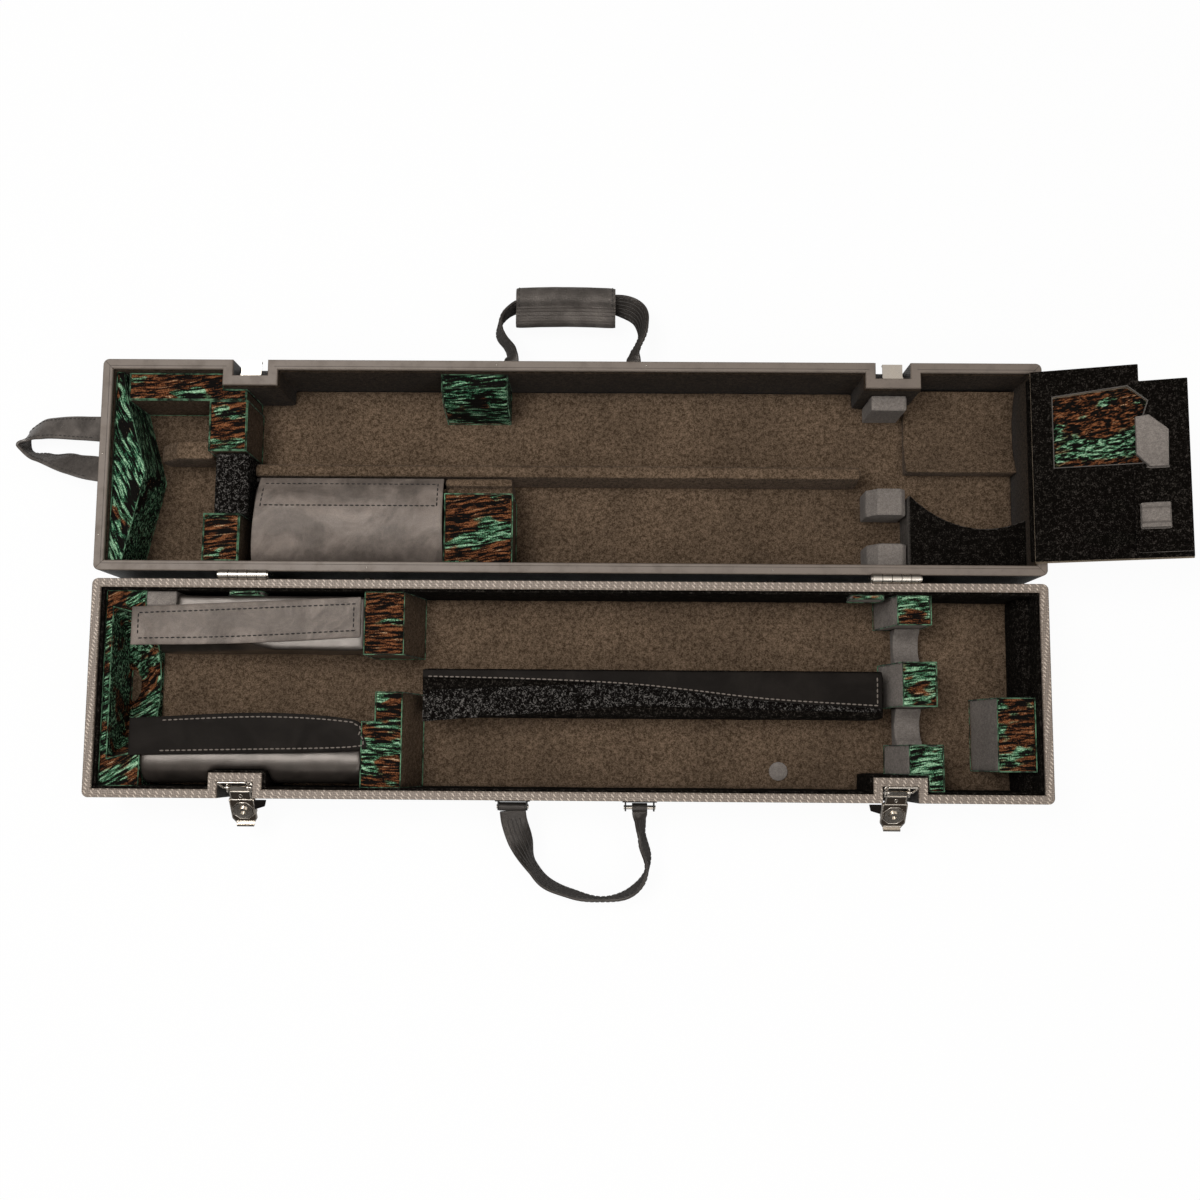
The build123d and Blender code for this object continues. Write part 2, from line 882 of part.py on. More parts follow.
# ---- hinges
def hinge_leaf(side, own):
    """Both leaves of one shell: a plate on the back wall, with its own knuckles round the hinge line."""
    pitch = hinge_length / knuckles
    face = hinge_y + side * hinge_gap / 2
    plate_y = face - side * leaf_thickness / 2
    plate_top = hinge_z - knuckle_radius - relief
    with BuildPart() as leaves:
        for x in (-hinge_x, hinge_x):
            left = x - hinge_length / 2
            with BuildSketch(Plane.XY.offset(hinge_z - leaf_height)):
                with Locations((x, plate_y)):
                    Rectangle(hinge_length, leaf_thickness)
            extrude(amount=plate_top - hinge_z + leaf_height)
            for k in own:
                start = left + k * pitch + knuckle_gap / 2
                with BuildSketch(Plane.YZ.offset(start)):
                    with Locations((hinge_y, hinge_z)):
                        Circle(knuckle_radius)
                    with Locations((plate_y, middle((plate_top - 1, hinge_z)))):
                        Rectangle(leaf_thickness, hinge_z - plate_top + 1)
                extrude(amount=pitch - knuckle_gap)
            with BuildSketch(Plane.YZ.offset(left - 1)):
                with Locations((hinge_y, hinge_z)):
                    Circle(pin_radius + pin_clearance)
            extrude(amount=hinge_length + 2, mode=Mode.SUBTRACT)
    return leaves


def rivets(planes):
    """One domed rivet head on each plane."""
    with BuildPart() as heads:
        for plane in planes:
            with BuildSketch(plane):
                Circle(rivet_radius)
            extrude(amount=rivet_head, taper=30)
    return heads


base_hinge_leaves = hinge_leaf(-1, (0, 2, 4))
save(base_hinge_leaves, "base_hinge_leaves")
lid_hinge_leaves = hinge_leaf(1, (1, 3))
save(lid_hinge_leaves, "lid_hinge_leaves")
with BuildPart() as hinge_pins:
    for x in (-hinge_x, hinge_x):
        with BuildSketch(Plane.YZ.offset(x)):
            with Locations((hinge_y, hinge_z)):
                Circle(pin_radius)
        extrude(amount=hinge_length / 2 + pin_clearance, both=True)
        for end in (-1, 1):
            with BuildSketch(Plane.YZ.offset(x + end * (hinge_length / 2 + pin_clearance))):
                with Locations((hinge_y, hinge_z)):
                    Circle(pin_head_radius)
            extrude(amount=end * pin_head)
save(hinge_pins, "hinge_pins")

# ---- draw latches: a plate in the base's recess, a lever on its ears, a wire bail on the lever
pivot_y = base_front + latch_pivot_in
recess_face = base_front + recess_depth
opened = radians(lever_open)
leaned = radians(bail_lean)
latch_places = {"left": -recess_x, "right": recess_x}
plate_low = base_recess_floor + 6
plate_high = latch_pivot_z + 14


def cross_section(x, up=(0, 0, 1), about=(0, 0)):
    """A plane across the case at x, whose local X points along up."""
    return Plane(origin=(x, about[0], about[1]), x_dir=up, z_dir=(1, 0, 0))


with BuildPart() as latch_plates:
    for x in latch_places.values():
        with BuildSketch(Plane.XZ.offset(-recess_face)):
            with Locations((x, middle((plate_low, plate_high)))):
                RectangleRounded(latch_plate_width, plate_high - plate_low, 2)
        extrude(amount=latch_plate_thickness)
        for start in (lever_neck / 2 + ear_gap, -lever_neck / 2 - ear_gap - ear_thickness):
            with BuildSketch(Plane.YZ.offset(x + start)):
                with Locations((pivot_y, latch_pivot_z)):
                    Circle(ear_radius)
                with Locations((middle((pivot_y, recess_face)), latch_pivot_z)):
                    Rectangle(recess_face - pivot_y, 2 * ear_radius)
                with Locations((pivot_y, latch_pivot_z)):
                    Circle(pin_radius, mode=Mode.SUBTRACT)
            extrude(amount=ear_thickness)
save(latch_plates, "latch_plates")


def latch_lever(x):
    """The lever: an octagonal plate with a boss and a finger lip, two cheeks with the pivot and the eye."""
    outline = Plane(
        origin=(x, pivot_y, latch_pivot_z), x_dir=(1, 0, 0), z_dir=(0, -cos(opened), sin(opened))
    )
    up = (0, sin(opened), cos(opened))
    half = lever_width / 2
    neck = lever_neck / 2
    cheek = ear_thickness
    tip = -lever_length + 2
    with BuildPart() as lever:
        with BuildSketch(outline.offset(lever_stand)):
            with BuildLine():
                Polyline(
                    (-neck, 4),
                    (-neck, -10),
                    (-half, -13),
                    (-half, tip + 7),
                    (-half + 4, tip),
                    (half - 4, tip),
                    (half, tip + 7),
                    (half, -13),
                    (neck, -10),
                    (neck, 4),
                    close=True,
                )
            make_face()
        extrude(amount=lever_plate)
        with BuildSketch(outline.offset(lever_stand)):
            with Locations((0, tip - 1)):
                Rectangle(lever_width - 8, 2)
        extrude(amount=lip_length)
        with BuildSketch(outline.offset(lever_stand + lever_plate)):
            with Locations((0, tip + 17)):
                RegularPolygon(10, 8, rotation=22.5)
        extrude(amount=1)
        with BuildSketch(outline.offset(lever_stand + lever_plate + 1)):
            with Locations((0, tip + 17)):
                Circle(5.2)
                Circle(2.4, mode=Mode.SUBTRACT)
        extrude(amount=2)
        with BuildSketch(outline.offset(lever_stand)):
            with Locations((-half + 0.6, -22), (half - 0.6, -22)):
                Rectangle(1.2, 18)
        extrude(amount=-3)
        for start in (neck - cheek, -neck):
            with BuildSketch(cross_section(x + start, up, (pivot_y, latch_pivot_z))):
                Circle(3.2)
                with Locations((crank * cos(opened), crank * sin(opened))):
                    Circle(2.6)
                make_hull()
                with Locations((-5, (lever_stand - 2) / 2 + 0.4)):
                    Rectangle(10, lever_stand + 2.8)
                Circle(pin_radius + pin_clearance, mode=Mode.SUBTRACT)
                with Locations((crank * cos(opened), crank * sin(opened))):
                    Circle(bail_wire + eye_clearance, mode=Mode.SUBTRACT)
            extrude(amount=cheek)
    return lever


def latch_bail(x):
    """The bail: a wire loop whose inturned ends stand in the lever's eyes."""
    plane = Plane(
        origin=(x, pivot_y, latch_pivot_z + crank),
        x_dir=(1, 0, 0),
        z_dir=(0, -cos(leaned), sin(leaned)),
    )
    end = lever_neck / 2 - ear_thickness - 0.5
    half = bail_width / 2
    with BuildPart() as bail:
        with BuildLine(plane) as route:
            FilletPolyline(
                (end, 0), (half, 0), (half, bail_length), (-half, bail_length), (-half, 0), (-end, 0), radius=1.8
            )
        with BuildSketch(Plane(origin=route.line @ 0, z_dir=route.line % 0)):
            Circle(bail_wire)
        sweep(path=route.line)
    return bail


for side, x in latch_places.items():
    lever = latch_lever(x)
    save(lever, f"{side}_latch_lever")
    bail = latch_bail(x)
    save(bail, f"{side}_latch_bail")

closed_eye = (pivot_y - crank * sin(opened), latch_pivot_z + crank * cos(opened))
bar_z = closed_eye[1] + bail_length
tongue_low = bar_z - bail_wire - 0.6 - keeper_thickness
tongue_end = closed_eye[0] - bail_wire - 0.8 - keeper_thickness
with BuildPart() as latch_keepers:
    for x in latch_places.values():
        with BuildSketch(Plane.YZ.offset(x - keeper_width / 2)):
            with BuildLine():
                Polyline(
                    *[
                        (lid_y - y, 2 * hinge_z - z)
                        for y, z in (
                            (recess_face, tongue_low - 3),
                            (recess_face, tongue_low + 20),
                            (recess_face - keeper_thickness, tongue_low + 20),
                            (recess_face - keeper_thickness, tongue_low + keeper_thickness),
                            (tongue_end + keeper_thickness, tongue_low + keeper_thickness),
                            (tongue_end + keeper_thickness, bar_z + 1.4),
                            (tongue_end, bar_z + 1.4),
                            (tongue_end, tongue_low),
                            (recess_face - keeper_thickness, tongue_low),
                            (recess_face - keeper_thickness, tongue_low - 3),
                        )
                    ],
                    close=True,
                )
            make_face()
        extrude(amount=keeper_width)
save(latch_keepers, "latch_keepers")

# ---- carrying straps
handle_droop = degrees(asin((anchor_z - strap_width / 2 - 1.5) / (handle_reach + strap_thickness / 2)))
base_wall = Plane(origin=(handle_shift, base_front, anchor_z), x_dir=(1, 0, 0), z_dir=(0, -1, 0))
lid_wall = Plane(origin=(0, lid_front, anchor_z), x_dir=(-1, 0, 0), z_dir=(0, 1, 0))
end_wall = Plane(origin=(-case_length / 2, lid_y + 23, anchor_z), x_dir=(0, -1, 0), z_dir=(-1, 0, 0))
handle_arms = (-handle_span / 2, handle_span / 2)
loop_arms = (-loop_span / 2, loop_span / 2)
loop_flare = loop_span / 2 + 5


def across(wall_plane, along, out):
    """A plane square to the wall's length, at a distance along it and out from it, with its local X up."""
    origin = wall_plane.origin + wall_plane.x_dir * along + wall_plane.z_dir * out
    return Plane(origin=origin, x_dir=wall_plane.y_dir, z_dir=wall_plane.x_dir)


def bracket(wall_plane, arms):
    """Brackets on a wall, one for each arm of a strap."""
    with BuildPart() as brackets:
        for arm in arms:
            with BuildSketch(wall_plane):
                with Locations((arm, 0)):
                    RectangleRounded(strap_width + 8, anchor_height, 3)
            extrude(amount=anchor_plate)
            inner = strap_width / 2 + sleeve_gap
            for start in (arm + inner, arm - inner - anchor_side):
                with BuildSketch(across(wall_plane, start, 0)):
                    with Locations((0, anchor_out / 2)):
                        Rectangle(8, anchor_out)
                    with Locations((0, anchor_out)):
                        Circle(4)
                        Circle(anchor_pin_radius, mode=Mode.SUBTRACT)
                extrude(amount=anchor_side)
    return brackets


def anchor_pins(wall_plane, arms):
    """The pins that the strap's sleeves turn on."""
    reach = strap_width / 2 + sleeve_gap + anchor_side + 1
    with BuildPart() as pins:
        for arm in arms:
            with BuildSketch(across(wall_plane, arm, anchor_out)):
                Circle(anchor_pin_radius)
            extrude(amount=reach, both=True)
    return pins


def strap_frame(wall_plane):
    """The plane that a strap lies in: local X along the wall, local Y out from it and down."""
    tilt = radians(handle_droop)
    out = wall_plane.z_dir * cos(tilt) - wall_plane.y_dir * sin(tilt)
    origin = wall_plane.origin + wall_plane.z_dir * anchor_out
    return Plane(origin=origin, x_dir=wall_plane.x_dir, z_dir=wall_plane.x_dir.cross(out))


def strap(wall_plane, arms, points, radius):
    """A leather strap: a sleeve and a flat end on each pin, and a loop that stands on its edge."""
    frame = strap_frame(wall_plane)
    sleeve = anchor_pin_radius + sleeve_gap
    with BuildPart() as piece:
        with BuildSketch(frame):
            with BuildLine():
                FilletPolyline(*points, radius=radius)
            trace(line_width=strap_thickness)
        extrude(amount=strap_width / 2, both=True)
        for arm in arms:
            with BuildSketch(frame):
                with Locations((arm, 13)):
                    Rectangle(strap_width, 20)
            extrude(amount=strap_thickness / 2, both=True)
            with BuildSketch(across(wall_plane, arm - strap_width / 2, anchor_out)):
                Circle(sleeve + 2)
            extrude(amount=strap_width)
            with BuildSketch(across(wall_plane, arm - strap_width / 2, anchor_out)):
                Circle(sleeve)
            extrude(amount=strap_width, mode=Mode.SUBTRACT)
    return piece


base_handle = strap(
    base_wall,
    handle_arms,
    [
        (handle_arms[0], strap_root),
        (-54, 48),
        (-16, 66),
        (2, handle_reach),
        (60, handle_reach),
        (86, 58),
        (handle_arms[1], strap_root),
    ],
    16,
)
save(base_handle, "base_handle")
base_handle_brackets = bracket(base_wall, handle_arms)
save(base_handle_brackets, "base_handle_brackets")
lid_handle = strap(
    lid_wall,
    handle_arms,
    [
        (handle_arms[0], strap_root),
        (-74, 45),
        (-60, lid_strap_line),
        (74, lid_strap_line),
        (77, 45),
        (handle_arms[1], strap_root),
    ],
    14,
)
save(lid_handle, "lid_handle")
grip_frame = strap_frame(lid_wall)
grip_centre = Plane(
    origin=grip_frame.origin + grip_frame.y_dir * grip_line + grip_frame.x_dir * (grip_shift - grip_length / 2),
    x_dir=grip_frame.y_dir,
    z_dir=grip_frame.x_dir,
)
with BuildPart() as lid_handle_grip:
    with BuildSketch(grip_centre):
        with Locations((0, 0)):
            RectangleRounded(grip_width, grip_thickness, grip_edge)
        with Locations((lid_strap_line - grip_line, 0)):
            Rectangle(strap_thickness + 2 * sleeve_gap, strap_width + 2 * sleeve_gap, mode=Mode.SUBTRACT)
    extrude(amount=grip_length)
save(lid_handle_grip, "lid_handle_grip")
end_loop = strap(
    end_wall,
    loop_arms,
    [
        (loop_arms[0], strap_root),
        (-loop_flare, loop_length),
        (loop_flare, loop_length),
        (loop_arms[1], strap_root),
    ],
    22,
)
save(end_loop, "end_loop")
with BuildPart() as lid_strap_brackets:
    add(bracket(lid_wall, handle_arms).part)
    add(bracket(end_wall, loop_arms).part)
save(lid_strap_brackets, "lid_strap_brackets")
with BuildPart() as lid_pins:
    add(anchor_pins(lid_wall, handle_arms).part)
    add(anchor_pins(end_wall, loop_arms).part)
save(lid_pins, "lid_pins")
with BuildPart() as base_pins:
    add(anchor_pins(base_wall, handle_arms).part)
    for x in latch_places.values():
        with BuildSketch(Plane.YZ.offset(x)):
            with Locations((pivot_y, latch_pivot_z)):
                Circle(pin_radius)
        extrude(amount=lever_neck / 2 + ear_gap + ear_thickness + 0.6, both=True)
save(base_pins, "base_pins")

# ---- rivet heads and glides
rivet_z = hinge_z - leaf_height + 6
leaf_face = hinge_gap / 2 - leaf_thickness
hinge_rivets = [
    x + dx for x in (-hinge_x, hinge_x) for dx in (-leaf_rivet_pitch, 0, leaf_rivet_pitch)
]
latch_rivets = [(x, z) for x in latch_places.values() for z in (plate_low + 6, plate_low + 20)]
base_rivets = rivets(
    [Plane(origin=(x, hinge_y - leaf_face, rivet_z), z_dir=(0, 1, 0)) for x in hinge_rivets]
    + [
        Plane(origin=(x, recess_face - latch_plate_thickness, z), z_dir=(0, -1, 0))
        for x, z in latch_rivets
    ]
)
save(base_rivets, "base_rivets")
lid_rivets = rivets(
    [Plane(origin=(x, hinge_y + leaf_face, rivet_z), z_dir=(0, -1, 0)) for x in hinge_rivets]
)
save(lid_rivets, "lid_rivets")
with BuildPart() as base_glides:
    for x in (-glide_x, glide_x):
        with BuildSketch(Plane(origin=(x, shell_width / 2, shell_depth - glide_drop), z_dir=(0, 1, 0))):
            Circle(glide_radius)
        extrude(amount=glide_out, taper=30)
save(base_glides, "base_glides")

# ---- accessory cover: a velour board that folds out over the lid's right end
tilted = radians(cover_tilt)
cover_hinge_x = inner_x - cover_hinge_in
cover_frame = Plane(
    origin=(cover_hinge_x, lid_y, shell_depth - cover_hinge_drop),
    x_dir=(cos(tilted), 0, sin(tilted)),
    z_dir=(-sin(tilted), 0, cos(tilted)),
)
cover_half = inner_y - cover_side_gap
notch_start = cover_hinge_x - recess_x - recess_width / 2 - recess_wall - lining - 2
notch_half = shell_width / 2 - recess_back - 2
with BuildPart() as cover_board:
    with BuildSketch(cover_frame):
        with BuildLine():
            Polyline(
                (cover_root, -cover_half),
                (cover_length, -cover_half),
                (cover_length, notch_half),
                (notch_start, notch_half),
                (notch_start, cover_half),
                (cover_root, cover_half),
                close=True,
            )
        make_face()
    extrude(amount=cover_thickness)
    with BuildSketch(cover_frame.offset(cover_thickness - pocket_depth)):
        with BuildLine():
            Polyline((23, -3), (104, -3), (104, 40), (110, 58), (92, 74), (23, 68), close=True)
        make_face()
    extrude(amount=pocket_depth, mode=Mode.SUBTRACT)
save(cover_board, "cover_board")
rest_near = -cover_half + 5
rest_far = rest_near + 82
with BuildPart() as cover_pads:
    with BuildSketch(cover_frame.offset(cover_thickness)):
        with BuildLine():
            Polyline((97.5, 4.5), (109.5, -8.5), (126, -8.5), (127, 27), (110, 42.5), (97.5, 41), close=True)
        make_face()
    extrude(amount=foam_block_height)
    with BuildSketch(cover_frame.offset(cover_thickness)):
        with Locations((120, middle((rest_near, rest_far)))):
            Rectangle(50, rest_far - rest_near)
    extrude(amount=pad_thickness)
    with BuildSketch(Plane(origin=cover_frame.origin, x_dir=(0, 1, 0), z_dir=cover_frame.x_dir).offset(100)):
        with BuildLine():
            Polyline(
                (-67, 14), (-43, 14), (-43, 22), (-47, 22), (-49, 18), (-61, 18), (-63, 22), (-67, 22), close=True
            )
        make_face()
    extrude(amount=26)
save(cover_pads, "cover_pads")
with BuildPart() as cover_hinge:
    with BuildSketch(Plane.XY.offset(shell_depth - cover_hinge_drop - 12)):
        with Locations((inner_x - 1, lid_y)):
            Rectangle(2, 2 * inner_y - 8)
    extrude(amount=11.2)
save(cover_hinge, "cover_hinge")
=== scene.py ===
from math import cos, floor, pi, radians, sin

import bmesh
import bpy
from bpy.props import FloatProperty, FloatVectorProperty, PointerProperty
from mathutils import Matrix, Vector, noise
from mathutils.bvhtree import BVHTree


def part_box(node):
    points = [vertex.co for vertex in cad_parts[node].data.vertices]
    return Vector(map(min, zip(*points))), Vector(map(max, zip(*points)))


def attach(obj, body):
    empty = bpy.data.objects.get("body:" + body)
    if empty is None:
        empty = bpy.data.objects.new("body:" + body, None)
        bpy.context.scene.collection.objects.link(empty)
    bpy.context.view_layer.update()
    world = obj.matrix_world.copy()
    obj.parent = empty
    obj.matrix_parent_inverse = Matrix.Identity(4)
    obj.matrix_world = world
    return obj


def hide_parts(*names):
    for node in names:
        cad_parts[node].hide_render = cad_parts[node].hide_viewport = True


bl_info = {
    "name": "Clarinet Case",
    "version": (1, 0, 0),
    "blender": (4, 5, 0),
    "location": "View3D > Sidebar > Case",
    "description": "Dresses the packed case: linings, velvet blocks, leather, metal, and the stage",
    "category": "Object",
}

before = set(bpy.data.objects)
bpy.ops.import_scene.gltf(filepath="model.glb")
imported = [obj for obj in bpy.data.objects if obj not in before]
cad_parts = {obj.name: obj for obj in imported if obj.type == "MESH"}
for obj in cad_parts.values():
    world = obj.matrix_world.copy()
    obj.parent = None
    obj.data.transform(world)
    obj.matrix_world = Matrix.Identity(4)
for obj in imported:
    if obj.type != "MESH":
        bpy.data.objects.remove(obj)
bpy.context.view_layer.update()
MM = 0.001
LOOK = "look_"  # keeps this file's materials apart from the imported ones
SAME_POINT = 0.01 * MM  # points closer than this are one
WHOLE_TURN = 2 * pi


# ---- sizes and colours that a user would change
def length(name, description, default):
    return FloatProperty(name=name, description=description, default=default, min=0.0, unit="LENGTH")


def colour(name, description, default):
    return FloatVectorProperty(
        name=name, description=description, default=default, size=3, subtype="COLOR", min=0.0, max=1.0
    )


class CaseSizes(bpy.types.PropertyGroup):
    """Sizes of the soft coverings and trim."""

    pad_cell: length("Pad cell", "Mesh size of a softened block", 2.4 * MM)
    # the bead is the velvet's rounded upper edge, lighter green as painted sheen
    bead: length("Bead", "Radius of the sheen bead round a velvet block", 0.6 * MM)
    stitch: length("Stitch", "Length of one stitch in leather", 3.4 * MM)
    stitch_pitch: length("Stitch pitch", "From one stitch to the next", 5.4 * MM)
    thread: length("Thread", "Radius of the thread", 0.7 * MM)
    leather: length("Leather", "Thickness of a leather flap", 2.0 * MM)
    strap: length("Strap", "Thickness of a carrying strap", 3.0 * MM)
    seam: length("Seam", "Width of a joint line in the rim", 0.5 * MM)


class CaseColours(bpy.types.PropertyGroup):
    """Colours of the finishes, scene linear."""

    felt: colour("Felt", "Nap of the brown felt", (0.150, 0.104, 0.070))
    felt_dark: colour("Felt shade", "Ground of the brown felt", (0.040, 0.026, 0.015))
    velour: colour("Velour", "Black velour", (0.0022, 0.0016, 0.0010))
    velour_nap: colour("Velour nap", "Raised nap of the black velour", (0.050, 0.043, 0.037))
    velvet_ground: colour("Velvet ground", "Darkest folds of the crushed velvet", (0.0030, 0.0024, 0.0018))
    velvet_rust: colour("Velvet rust", "Rust streaks of the crushed velvet", (0.080, 0.027, 0.010))
    # painted sheen: the lit rust and lit green are lighter colours painted in the middle of the velvet's strokes
    velvet_rust_lit: colour("Lit rust", "Middle of a rust streak", (0.19, 0.072, 0.029))
    velvet_green: colour("Velvet green", "Green patches of the crushed velvet", (0.030, 0.120, 0.060))
    velvet_green_lit: colour("Lit green", "Middle of a green streak", (0.27, 0.45, 0.29))
    velvet_line: colour("Velvet line", "Thin pale creases in the rust", (0.50, 0.36, 0.22))
    # the bead's lighter green is painted sheen on the velvet's upper edges
    bead: colour("Bead", "Lit nap of the sheen bead", (0.12, 0.25, 0.145))
    bead_dark: colour("Bead shade", "Ground of the sheen bead", (0.008, 0.016, 0.009))
    leather: colour("Leather", "Black leather under the light", (0.034, 0.028, 0.024))
    leather_strap: colour("Strap leather", "Leather of the straps", (0.034, 0.030, 0.027))
    thread: colour("Thread", "Thread of the flaps", (0.010, 0.008, 0.007))
    thread_light: colour("Light thread", "Thread of the narrow straps", (0.20, 0.17, 0.145))
    twill: colour("Twill", "Ground of the woven band", (0.235, 0.190, 0.155))
    twill_fleck: colour("Twill fleck", "Light flecks of the woven band", (0.64, 0.54, 0.45))
    rim: colour("Rim", "Smooth moulding round the lid", (0.185, 0.150, 0.123))
    shell: colour("Shell", "Outer skin of the shells", (0.020, 0.018, 0.0165))
    foam: colour("Foam", "Grey flocked foam", (0.250, 0.222, 0.200))
    nickel: colour("Nickel", "Nickel plate", (0.66, 0.61, 0.545))
    # painted shade: a dark colour laid in the pockets of the latch levers and in the gaps between hinge knuckles
    recess_shade: colour("Recess shade", "Painted shade in the pockets of the latches and the gaps of the hinges", (0.050, 0.037, 0.026))
    black_metal: colour("Black metal", "Japanned brackets", (0.018, 0.017, 0.016))
    board: colour("Board", "Cut edges of the cover's board", (0.42, 0.34, 0.25))
    piping: colour("Piping", "Piping round the cover's pocket", (0.10, 0.09, 0.08))
    loop: colour("Loop", "Loop fastener", (0.0020, 0.0014, 0.0010))
    loop_nap: colour("Loops", "Lit loops of the fastener", (0.135, 0.126, 0.118))


def sizes():
    return bpy.context.scene.case_sizes


def colours():
    return bpy.context.scene.case_colours


# ---- node groups
COLOUR, VALUE, VECTOR = "NodeSocketColor", "NodeSocketFloat", "NodeSocketVector"
COLOUR_AND_HEIGHT = {"Color": COLOUR, "Height": VALUE}
ALL_THREE = {"Color": COLOUR, "Roughness": VALUE, "Height": VALUE}


class Wires:
    """Adds and joins nodes in one tree."""

    def __init__(self, tree):
        self.tree = tree

    def put(self, target, value):
        if isinstance(value, bpy.types.NodeSocket):
            self.tree.links.new(value, target)
        else:
            target.default_value = value

    def node(self, kind, inputs=(), **settings):
        made = self.tree.nodes.new(kind)
        for key, value in settings.items():
            setattr(made, key, value)
        for key, value in dict(inputs).items():
            self.put(made.inputs[key], value)
        return made

    def first(self, kind, inputs=(), **settings):
        return self.node(kind, inputs, **settings).outputs[0]

    def math(self, operation, a, b=0.0, c=0.0):
        return self.first("ShaderNodeMath", {0: a, 1: b, 2: c}, operation=operation)

    def times(self, a, b):
        return self.math("MULTIPLY", a, b)

    def plus(self, a, b):
        return self.math("ADD", a, b)

    def minus(self, a, b):
        return self.math("SUBTRACT", a, b)

    def line(self, value, slope, start):
        return self.math("MULTIPLY_ADD", value, slope, start)

    def vector(self, operation, inputs):
        return self.first("ShaderNodeVectorMath", inputs, operation=operation)

    def parts(self, vector):
        return self.node("ShaderNodeSeparateXYZ", {0: vector}).outputs

    def noise(self, vector, scale, detail=2.0, roughness=0.5, distortion=0.0):
        labels = ("Vector", "Scale", "Detail", "Roughness", "Distortion")
        values = (vector, scale, detail, roughness, distortion)
        return self.first("ShaderNodeTexNoise", zip(labels, values))

    def stretch(self, vector, scale, turn=(0, 0, 0)):
        return self.first("ShaderNodeMapping", {"Vector": vector, "Scale": scale, "Rotation": turn})

    def step(self, value, low, high):
        """0 below low, 1 above high, smooth between them."""
        values = {"Value": value, "From Min": low, "From Max": high}
        return self.first("ShaderNodeMapRange", values, interpolation_type="SMOOTHSTEP")

    def mix(self, share, a, b, blend_type="MIX"):
        made = self.node("ShaderNodeMix", data_type="RGBA", blend_type=blend_type)
        for index, value in ((0, share), (6, a), (7, b)):
            self.put(made.inputs[index], value)
        return made.outputs[2]

    def shaded(self, colour, tone):
        return self.mix(1.0, colour, tone, "MULTIPLY")


def group(name, inputs, outputs):
    """A new node group. An input is given by its socket's type, or by a number, which is its default."""
    tree = bpy.data.node_groups.new(name, "ShaderNodeTree")
    for label, kind in inputs.items():
        plain = isinstance(kind, float)
        socket = tree.interface.new_socket(name=label, in_out="INPUT", socket_type=VALUE if plain else kind)
        if plain:
            socket.default_value = kind
    for label, kind in outputs.items():
        tree.interface.new_socket(name=label, in_out="OUTPUT", socket_type=kind)
    given, out = tree.nodes.new("NodeGroupInput"), tree.nodes.new("NodeGroupOutput")
    return Wires(tree), given.outputs, out.inputs


def full(rgb):
    return (*rgb, 1.0)


def nap_group():
    """Short nap, as on felt, velour and flocked foam: a speckle, slow shading and its height."""
    wires, given, out = group(
        "Nap",
        {"Vector": VECTOR, "Ground": COLOUR, "Tip": COLOUR, "Speckle": 760.0, "Low": 0.38, "High": 0.64},
        COLOUR_AND_HEIGHT,
    )
    fine = wires.noise(given["Vector"], given["Speckle"], 3.0, 0.7)
    coarse = wires.noise(given["Vector"], wires.times(given["Speckle"], 0.35), 2.0, 0.6)
    cloud = wires.noise(given["Vector"], 14.0, 3.0, 0.6)
    speckle = wires.plus(wires.times(fine, 0.65), wires.times(coarse, 0.35))
    nap = wires.mix(wires.step(speckle, given["Low"], given["High"]), given["Ground"], given["Tip"])
    wires.put(out["Color"], wires.shaded(nap, wires.line(wires.step(cloud, 0.1, 0.9), 0.5, 0.75)))
    wires.put(out["Height"], speckle)


